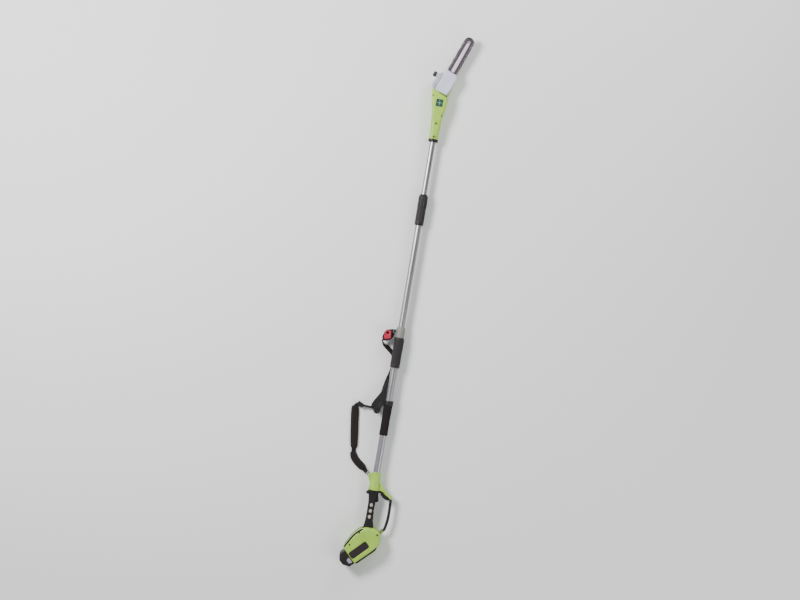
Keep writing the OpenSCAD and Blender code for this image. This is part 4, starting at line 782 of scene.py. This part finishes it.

# ---- Guide bar
# Ground steel bar with a rivetted nose and, down its middle, a long narrow bright strip that is a painted
# highlight for the light the bar reflects. The bar's shape comes with the part; the strip and the rivets are added.
bar_steel = metal("ground bar steel", (0.12, 0.09, 0.11), 0.36, (60, 600, 600), 0.25)
dress(bar_steel, "guide_bar")
# Painted highlight: pale pink-mauve metal in a thin raised strip where the bar reflects the light.
bar_highlight_finish = metal("painted bar highlight", (0.92, 0.80, 0.90), 0.36, (300, 300, 300), 0.04)
highlight_outline = rounded([(66, -7.6), (204, -6.6), (213, -3.6), (213, 3.6), (204, 6.6), (66, 7.6)], 3)
skin("bar_highlight_strip", [to_head(moulded(highlight_outline, 10.3, 10.85, 0.25))], "guide_bar", bar_highlight_finish)
rivet = turned(rolled([(10.2, 0.1), (10.2, 2.0), (10.7, 1.9), (11.0, 1.1), (11.05, 0.1)], 0.3, 4), 24, axis="z")
rivets = [to_head(rivet + (215.5 + 6.2 * math.cos(t), 6.2 * math.sin(t), 0))
          for t in np.arange(0, 6.28, 2 * math.pi / 5)]
skin("nose_rivets", rivets, "guide_bar", nut_metal)

# ---- Saw chain
# Low-profile chain round the bar: paired tie straps over centre links, chromed cutters on every fourth
# link, each turned to follow the path's straights and its two round ends.
chain_steel = metal("oiled chain steel", (0.048, 0.032, 0.042), 0.36, (400, 400, 400), 0.3)
chrome = metal("cutter chrome", (0.26, 0.22, 0.25), 0.24, (500, 500, 500), 0.2)
RUN, NOSE = 21.2, 215.5
COUNT = 58
pitch = (2 * NOSE + 2 * math.pi * RUN) / COUNT


def on_chain(s):
    """Point on the chain's path at distance s: out along +c, round the nose, back along -c, round the
    sprocket."""
    s = np.mod(s, 2 * NOSE + 2 * math.pi * RUN)
    turn = math.pi * RUN
    a1, a2 = (s - NOSE) / RUN, (s - 2 * NOSE - turn) / RUN
    b = np.where(s < NOSE, s, np.where(s < NOSE + turn, NOSE + RUN * np.sin(a1),
                                       np.where(s < 2 * NOSE + turn, 2 * NOSE + turn - s, -RUN * np.sin(a2))))
    c = np.where(s < NOSE, RUN,
                 np.where(s < NOSE + turn, RUN * np.cos(a1),
                          np.where(s < 2 * NOSE + turn, -RUN, -RUN * np.cos(a2))))
    return np.stack([b, c], -1)


def linked(shape, first, step, z_shift=0.0):
    """Copies of one link along the path: u runs from rivet to rivet and v outward, with
    P = p0 + u (p1 - p0) / |p1 - p0| + v n for each link's two rivets."""
    at = np.arange(first, COUNT, step) * pitch
    p0, p1 = on_chain(at), on_chain(at + pitch)
    e = (p1 - p0) / np.linalg.norm(p1 - p0, axis=1)[:, None]
    n = np.stack([-e[:, 1], e[:, 0]], 1)
    out = p0[:, None, None] + shape[None, ..., :1] * e[:, None, None] + shape[None, ..., 1:2] * n[:, None, None]
    lift = np.broadcast_to(shape[None, ..., 2:], out.shape[:-1] + (1,)) + z_shift
    return [to_head(link) for link in np.concatenate([out, lift], -1)]


MID = 8.4
strap_link = rounded([(-2.6, -1.9), (1.6, -2.3), (pitch / 2, -1.3), (pitch - 1.6, -2.3), (pitch + 2.6, -1.9),
                      (pitch + 2.6, 1.5),
                      (pitch / 2, 2.1), (-2.6, 1.5)], 1.4, 4)
centre_link = rounded([(-2.2, -2.2), (pitch + 2.2, -2.2), (pitch + 2.2, 1.2), (pitch - 1, 2.0), (1, 2.0),
                       (-2.2, 1.2)], 1.2, 4)
cutter = rounded([(-2.4, -2.0), (pitch + 2.4, -2.0), (pitch + 2.4, 1.0), (pitch + 1.8, 3.9),
                  (pitch + 0.2, 3.6), (pitch - 2.4, 0.9),
                  (pitch - 4, 1.0), (2.6, 4.1), (-2.4, 4.5)], 0.8, 4)
links = [piece for side in (-1, 1) for piece in linked(moulded(strap_link, -0.6, 0.6, 0.3, steps=3), 0, 2,
                                                       MID + side * 2.1)]
links += linked(moulded(centre_link, -1.3, 1.3, 0.4, steps=3), 1, 2, MID)
pins = turned(rolled([(-2.9, 0.1), (-2.9, 1.2), (-2.7, 1.5), (2.7, 1.5), (2.9, 1.2), (2.9, 0.1)], 0.2, 3), 12,
              axis="z")
links += linked(pins, 0, 1, MID)
chain = skin("chain_links", links, "saw_head", chain_steel)
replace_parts(chain, "saw_chain")
teeth = [piece for k in (0, 4) for piece in linked(moulded(cutter, -0.7, 0.7, 0.3, steps=3), k, 8,
                                                   MID + (2.25 if k else -2.25))]
skin("chain_cutters", teeth, "saw_head", chrome)
gear_steel = metal("gear steel", (0.36, 0.34, 0.32), 0.3, (300, 300, 300), 0.2)
dress(gear_steel, "motor_case", "gear_plate", "output_bearings", "drive_sprocket", "motor_rotor")
dress(metal("sintered gear", (0.52, 0.40, 0.22), 0.36, (400, 400, 400), 0.25), "idler_gear", "output_gear")
dress(nylon, "oil_pump")

# ---- Webbing
# Flat woven strap, 20 mm wide: it leaves the quick release, passes under the lower lock and through the
# bracket's guide, crosses to the long pad, and a short end joins the pads to the rear hook.
cloth, taken, given = effect("woven cloth", ("Base", "Color", (0.03, 0.025, 0.02, 1)),
                             ("Thread", "Color", (0.1, 0.09, 0.07, 1)), ("Cell", "Float", 5200.0),
                             ("Row 1", "Float", 0.002), ("Row 2", "Float", 0.018), ("Relief", "Float", 0.6))
where = add(cloth, "ShaderNodeSeparateXYZ",
            {0: add(cloth, "ShaderNodeAttribute", attribute_name="run").outputs["Vector"]})
over, down = where.outputs["X"], where.outputs["Y"]
warp, weft = (sums(cloth, "SINE", sums(cloth, "MULTIPLY", way, taken.outputs["Cell"])) for way in (over, down))
weave = sums(cloth, "MULTIPLY_ADD", sums(cloth, "MULTIPLY", warp, weft), 0.5, 0.5)
STITCHES_PER_M, STITCH_SHARE, THREAD_HALF = 240.0, 0.62, 0.0006
dash = sums(cloth, "FRACT", sums(cloth, "MULTIPLY", down, STITCHES_PER_M))
dash = sums(cloth, "LESS_THAN", dash, STITCH_SHARE)
off_row = [sums(cloth, "ABSOLUTE", sums(cloth, "SUBTRACT", over, taken.outputs[k])) for k in ("Row 1", "Row 2")]
stitch = sums(cloth, "MULTIPLY", sums(cloth, "LESS_THAN", sums(cloth, "MINIMUM", *off_row), THREAD_HALF), dash)
dust = noise(cloth, add(cloth, "ShaderNodeTexCoord").outputs["Object"], 60.0, 4.0)
level = sums(cloth, "MULTIPLY_ADD", weave, 0.5, sums(cloth, "MULTIPLY_ADD", dust, 0.5, 0.5))
paint = add(cloth, "ShaderNodeMix", {0: stitch, 6: toned(cloth, taken, level), 7: taken.outputs["Thread"]},
            data_type="RGBA").outputs[2]
gloss = sums(cloth, "MULTIPLY_ADD", dust, 0.2, 0.68)
give(cloth, taken, given, paint, gloss, sums(cloth, "MULTIPLY_ADD", stitch, 1.4, weave), 0.0005)


def fabric(name, colour, thread, cell=5200.0, rows=(0.002, 0.018)):
    """Woven nylon with two rows of stitching and the soft sheen of its fibres."""
    values = {"Base": (*colour, 1), "Thread": (*thread, 1), "Cell": cell, "Row 1": rows[0], "Row 2": rows[1]}
    return finished(name, cloth, values, Sheen_Weight=0.04, Sheen_Roughness=0.5, Specular_IOR_Level=0.25)


def ribbon(route, wide, thick, n=200, r=None, side=14, above=(0, 0, 1)):
    """Band swept along a smooth route of (x, y, z, tilt): P = o + w u + h v, with t along the route,
    s = above x t, w = s cos tilt + (t x s) sin tilt and h square to both. Returns the skin and its length."""
    route = np.asarray(route, float)
    leg = travelled(route[:, :3])
    path = curve(np.linspace(0, leg[-1], n), leg, route)
    o, tilt = path[:, :3], np.radians(path[:, 3:])
    t = np.gradient(o, axis=0)
    length = float(np.linalg.norm(np.diff(o, axis=0), axis=1).sum())
    t = t / np.linalg.norm(t, axis=1)[:, None]
    s = np.cross(above, t)
    s = s / np.linalg.norm(s, axis=1)[:, None]
    up = np.cross(t, s)
    w, h = s * np.cos(tilt) + up * np.sin(tilt), up * np.cos(tilt) - s * np.sin(tilt)
    ring = round_box(-wide / 2, wide / 2, -thick / 2, thick / 2, thick * 0.45 if r is None else r, 3,
                     (side, 1, side, 1))[0]
    grid = o[:, None] + w[:, None] * ring[None, :, :1] + h[:, None] * ring[None, :, 1:]
    return grid, length


webbing = fabric("strap webbing", (0.011, 0.008, 0.008), (0.04, 0.032, 0.028))
front_route = [(561, 73, -3, 80), (555, 69, -10, 72), (544, 61, -26, 44), (528, 39, -36.0, 10),
               (502, 13, -37.9, 0), (462, 7, -38.2, 0),
               (422, 13, -37.4, 4), (392, 22, -34.6, 26), (352, 31, -29, 40), (318, 36, -23, 56),
               (296, 36, -18, 78),
               (285, 34, -16, 84), (268, 47, -19, 76), (261, 64, -23.5, 66), (260, 86, -26, 64),
               (261, 106, -28, 68),
               (262, 118, -28.4, 60), (262, 130, -28.6, 24), (256, 140, -29.6, 4), (242, 143, -32.5, 0)]
band, band_length = ribbon(front_route, 20, 1.8, 320)
front_strap = skin("front_strap", [band], "rear_unit", webbing)
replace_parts(front_strap, "strap_front")
rear_band, rear_length = ribbon([(-8, 67, -33, 0), (-19, 56, -31, 2), (-24, 51, -25, 12),
                                 (-28.8, 45.4, -16, 30)], 20, 1.8, 60)
rear_strap = skin("rear_strap", [rear_band], "rear_unit", webbing)
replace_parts(rear_strap, "strap_rear")
link_band, link_length = ribbon([(80, 120.6, -33, 0), (60, 119, -33.8, 0), (42, 116, -33, 0)], 20, 1.8, 40)
pad_link = skin("pad_link", [link_band], "rear_unit", webbing)

# ---- Shoulder pads
# Two stuffed pads of dark nylon over soft foam, crowned in the middle and pinched at a bound edge, with two
# sewn channels along them; the short one bends towards the rear hook.


def stuffed(route, z0, z1, n=150, m=96, blunt=7.0):
    """Stuffed pad along a route of (x, y, half width w): across = w cos t and
    height = h sgn(sin t) |sin t|^0.8, less two sewn channels exp(-((|cos t| - 0.56) / 0.06)^2); the ends
    close as (1 - |2 u - 1|^k)^(1 / k), and slow wrinkles sin a sin b run over both faces. Returns the skin
    and the seam's outline."""
    route = np.asarray(route, float)
    leg = travelled(route[:, :2])
    u = (1 - np.cos(np.linspace(0.02, np.pi - 0.02, n))) / 2
    path = curve(u * leg[-1], leg, route)
    ahead = np.gradient(path[:, :2], axis=0)
    ahead = ahead / np.linalg.norm(ahead, axis=1)[:, None]
    cross = np.stack([-ahead[:, 1], ahead[:, 0]], 1)
    close = (1 - np.abs(2 * u - 1) ** blunt) ** (1 / blunt)
    wide = (path[:, 2] * close)[:, None]
    t = np.linspace(0, 2 * np.pi, m, endpoint=False)[None]
    swell = 1 - 0.16 * np.exp(-((np.abs(np.cos(t)) - 0.56) / 0.06) ** 2)
    ripple = 0.028 * np.sin(u[:, None] * leg[-1] / 4.3 + 2 * np.cos(t)) * np.sin(u[:, None] * leg[-1] / 11.0)
    half = (z1 - z0) / 2
    rise = np.sign(np.sin(t)) * np.abs(np.sin(t)) ** 0.8 * (swell + ripple) * np.sqrt(close)[:, None]
    flat = path[:, None, :2] + cross[:, None] * (wide * np.cos(t))[..., None]
    z = np.clip((z0 + z1) / 2 + half * rise, z0 + 0.5, z1)
    edge = np.concatenate([path[:, :2] + cross * wide, (path[:, :2] - cross * wide)[::-1]])
    return np.concatenate([flat, z[..., None]], -1), edge


def binding(edge, z, r=1.3):
    """Tape folded over the seam: P = edge + r cos t n, z + 1.8 r sin t, with n square to the outline."""
    ahead = np.roll(edge, -1, 0) - np.roll(edge, 1, 0)
    ahead = ahead / np.linalg.norm(ahead, axis=1)[:, None]
    out = np.stack([ahead[:, 1], -ahead[:, 0]], 1)
    t = np.linspace(0, 2 * np.pi, 10, endpoint=False)
    return np.stack([np.column_stack([edge + out * r * math.cos(a),
                                      np.full(len(edge), z + 1.8 * r * math.sin(a))]) for a in t], 1)


def densely(outline, step=2.0):
    """Same outline with its points spread evenly, one about every step."""
    p = np.vstack([outline, outline[:1]])
    at = travelled(p)
    new = np.linspace(0, at[-1], int(at[-1] / step), endpoint=False)
    return np.stack([np.interp(new, at, p[:, k]) for k in (0, 1)], 1)


pad_cloth = fabric("pad cloth", (0.012, 0.008, 0.007), (0.045, 0.034, 0.028), 6400.0, (0.0085, 0.0268))
long_route = [(67, 119, 15), (110, 125, 16), (160, 132, 16.6), (210, 139, 16.6), (254.5, 145.3, 16)]
short_route = [(50.5, 120.5, 12), (38, 116, 14.4), (22, 107, 15.4), (4, 88, 15.8), (-8, 71.5, 15.4),
               (-14, 58, 13)]
seams = []
for pad_name, node_name, pad_route in (("long_pad", "strap_pad_long", long_route),
                                       ("short_pad", "strap_pad_short", short_route)):
    shell, edge = stuffed(pad_route, -39.9, -26.9)
    pad = skin(pad_name, [shell], "rear_unit", pad_cloth)
    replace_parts(pad, node_name)
    seams.append(binding(edge, -33.4))
skin("pad_binding", seams, "rear_unit", webbing, loop=True)

# ---- Strap fittings
# Nylon quick release with its red tab, a ladder slider where the strap meets the long pad, and the wire
# hook with a swivel that clips the rear strap to the handle's eye.
tab_red = plastic("release red", (0.42, 0.018, 0.045), 0.28, 1500.0, 0.15, 0.35, Coat_Weight=0.3,
                  Coat_Roughness=0.2)
tab = rounded(front_eye + [(-35, 10.5), (-4, 14), (3, 34), (-8, 43), (-42, 43), (-41, 28)], 4, 8)
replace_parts(skin("release_pull", [holed(densely(tab, 1.2), front_eye + (-12, 29), 5.6, -4.0, 8.4, 2.4)],
                 "release_tab", tab_red, loop=True),
            "release_tab")
plate = rounded(front_eye + [(7, -6), (8, 6), (2, 32), (-8, 44), (-36, 50), (-51, 46), (-48, 24), (-36, 6),
                             (-6, -6)], 4)
cup_wall = rounded(front_eye + [(-36, 6), (-36, 9.6), (-41.8, 28), (-43.4, 43.8), (-22, 44.8), (-22, 48),
                                (-36, 50), (-51, 46), (-48, 24)],
                   1.2, 4)
eye_pin = turned(rolled([(-11, 0.2), (-11, 3.1), (4.4, 3.1), (4.4, 5.4), (7.6, 5.4), (8.6, 4.4), (8.6, 0.2)],
                        0.5, 4), 40, axis="z")
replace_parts(skin("release_cradle",
                 [moulded(plate, -11, -4.5, 1.2), moulded(cup_wall, -6, 8, 1.0), eye_pin + (612, 27, 0)],
                 "rear_unit", black), "strap_buckle")
ACROSS = math.radians(65)
turn65 = np.array([[math.cos(ACROSS), math.sin(ACROSS)], [-math.sin(ACROSS), math.cos(ACROSS)]])


def slid(points, r, z0, z1, top):
    """Part of the slider, drawn square and turned to lie across the strap."""
    return moulded(rounded(points, r) @ turn65 + (264, 122), z0, z1, top)


frame_plate = [(-14, -9), (14, -9), (16, 0), (14, 9), (-14, 9), (-16, 0)]
slider = [slid(frame_plate, 3, -39.8, -37.4, 0.8), slid(frame_plate, 3, -18.2, -15.8, 0.8)]
slider += [slid([(x - 2, -8), (x + 2, -8), (x + 2, 8), (x - 2, 8)], 1, -38, -17.6, 0.4) for x in (-12.2, 12.2)]
slider += [slid([(-12, y - 1.4), (12, y - 1.4), (12, y + 1.4), (-12, y + 1.4)], 0.8, -38, -17.6, 0.5)
           for y in (-6.6, 6.6)]
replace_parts(skin("ladder_slider", slider, "rear_unit", black), "strap_slider")
hook, _ = ribbon([(-37.6, 39.4, -1, 0), (-37.8, 37.6, 6.2, 0), (-38.2, 31, 8.8, 0), (-38, 28, 3, 0),
                  (-38, 28, -5, 0), (-37, 31.5, -9.5, 0),
                  (-34.6, 38, -10.8, 0), (-31.4, 42.8, -13.6, 0)], 3.2, 3.2, 90, 1.58, 2, (1, -0.4, 0.02))
swivel = turned(rolled([(-3.6, 0.2), (-3.6, 3.6), (3.6, 3.6), (3.6, 0.2)], 1.2, 6), 32,
                axis="z") + (-33, 40.8, -12.5)
loop_wire, _ = ribbon([(-38, 50.4, -19, 0), (-33.6, 46.6, -16.4, 0), (-29.0, 43.0, -14.4, 0),
                       (-24.4, 39.4, -12.4, 0)], 3, 3, 40, 1.48, 2)
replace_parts(skin("clip_hook", [hook, swivel, loop_wire], "rear_unit", spring), "rear_hook")

# ---- Hanger bracket and knob
# Clamp ring on the pole with a webbed arm, drawn tight by a round lobed knob; the ring and guide come with
# the part; the web, a ribbed band on the ring and the knob's lobed shape are added.
dress(black, "hanger_bracket")
web_shape = densely(np.array([(412, 17.2), (394, 20.5), (372, 26.5), (352, 33.5), (332, 43), (312, 55),
                              (294, 66), (276, 74.5),
                              (266, 75), (258, 69), (249, 58), (246, 47), (252, 38), (270, 27), (283, 17),
                              (301, 16.6), (360, 16.6)]), 2.5)
for _ in range(5):
    web_shape = (np.roll(web_shape, 1, 0) + 2 * web_shape + np.roll(web_shape, -1, 0)) / 4
skin("bracket_web", [moulded(web_shape, -4.2, 4.2, 1.6)], "rear_unit", black)
ring_rows = rolled([(281.6, 19.6), (281.6, 20.4), (284, 21), (299, 21), (302.4, 20.4), (302.4, 19.6)], 0.8, 5)
skin("bracket_band", [turned(ring_rows, 96, ribs(12, 0.02, 280, 305))], "rear_unit", black, loop=True)
knob_at = np.array([252.0, 46.0, 0.0])
knob_rows = rolled([(-7, 0.2), (-7, 2.9), (5.3, 2.9), (5.3, 9), (8.4, 15.6), (14, 16), (17.2, 13.4),
                    (17.2, 7.2), (15.4, 6.0), (15.4, 0.2)],
                   1.3, 7)
knob_rows = spread(knob_rows, 100)


def lobed(t, at):
    """Radius factor of a ten-lobed grip: 1 - 0.11 |sin 5 t|^3 on the outer rim only."""
    return 1 - 0.11 * np.abs(np.sin(5 * t)) ** 3 * ((at > 5.4) & (at < 16.9))


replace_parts(skin("clamp_knob", [turned(knob_rows, 160, lobed, "z") + knob_at], "hanger_knob", black),
            "hanger_knob")
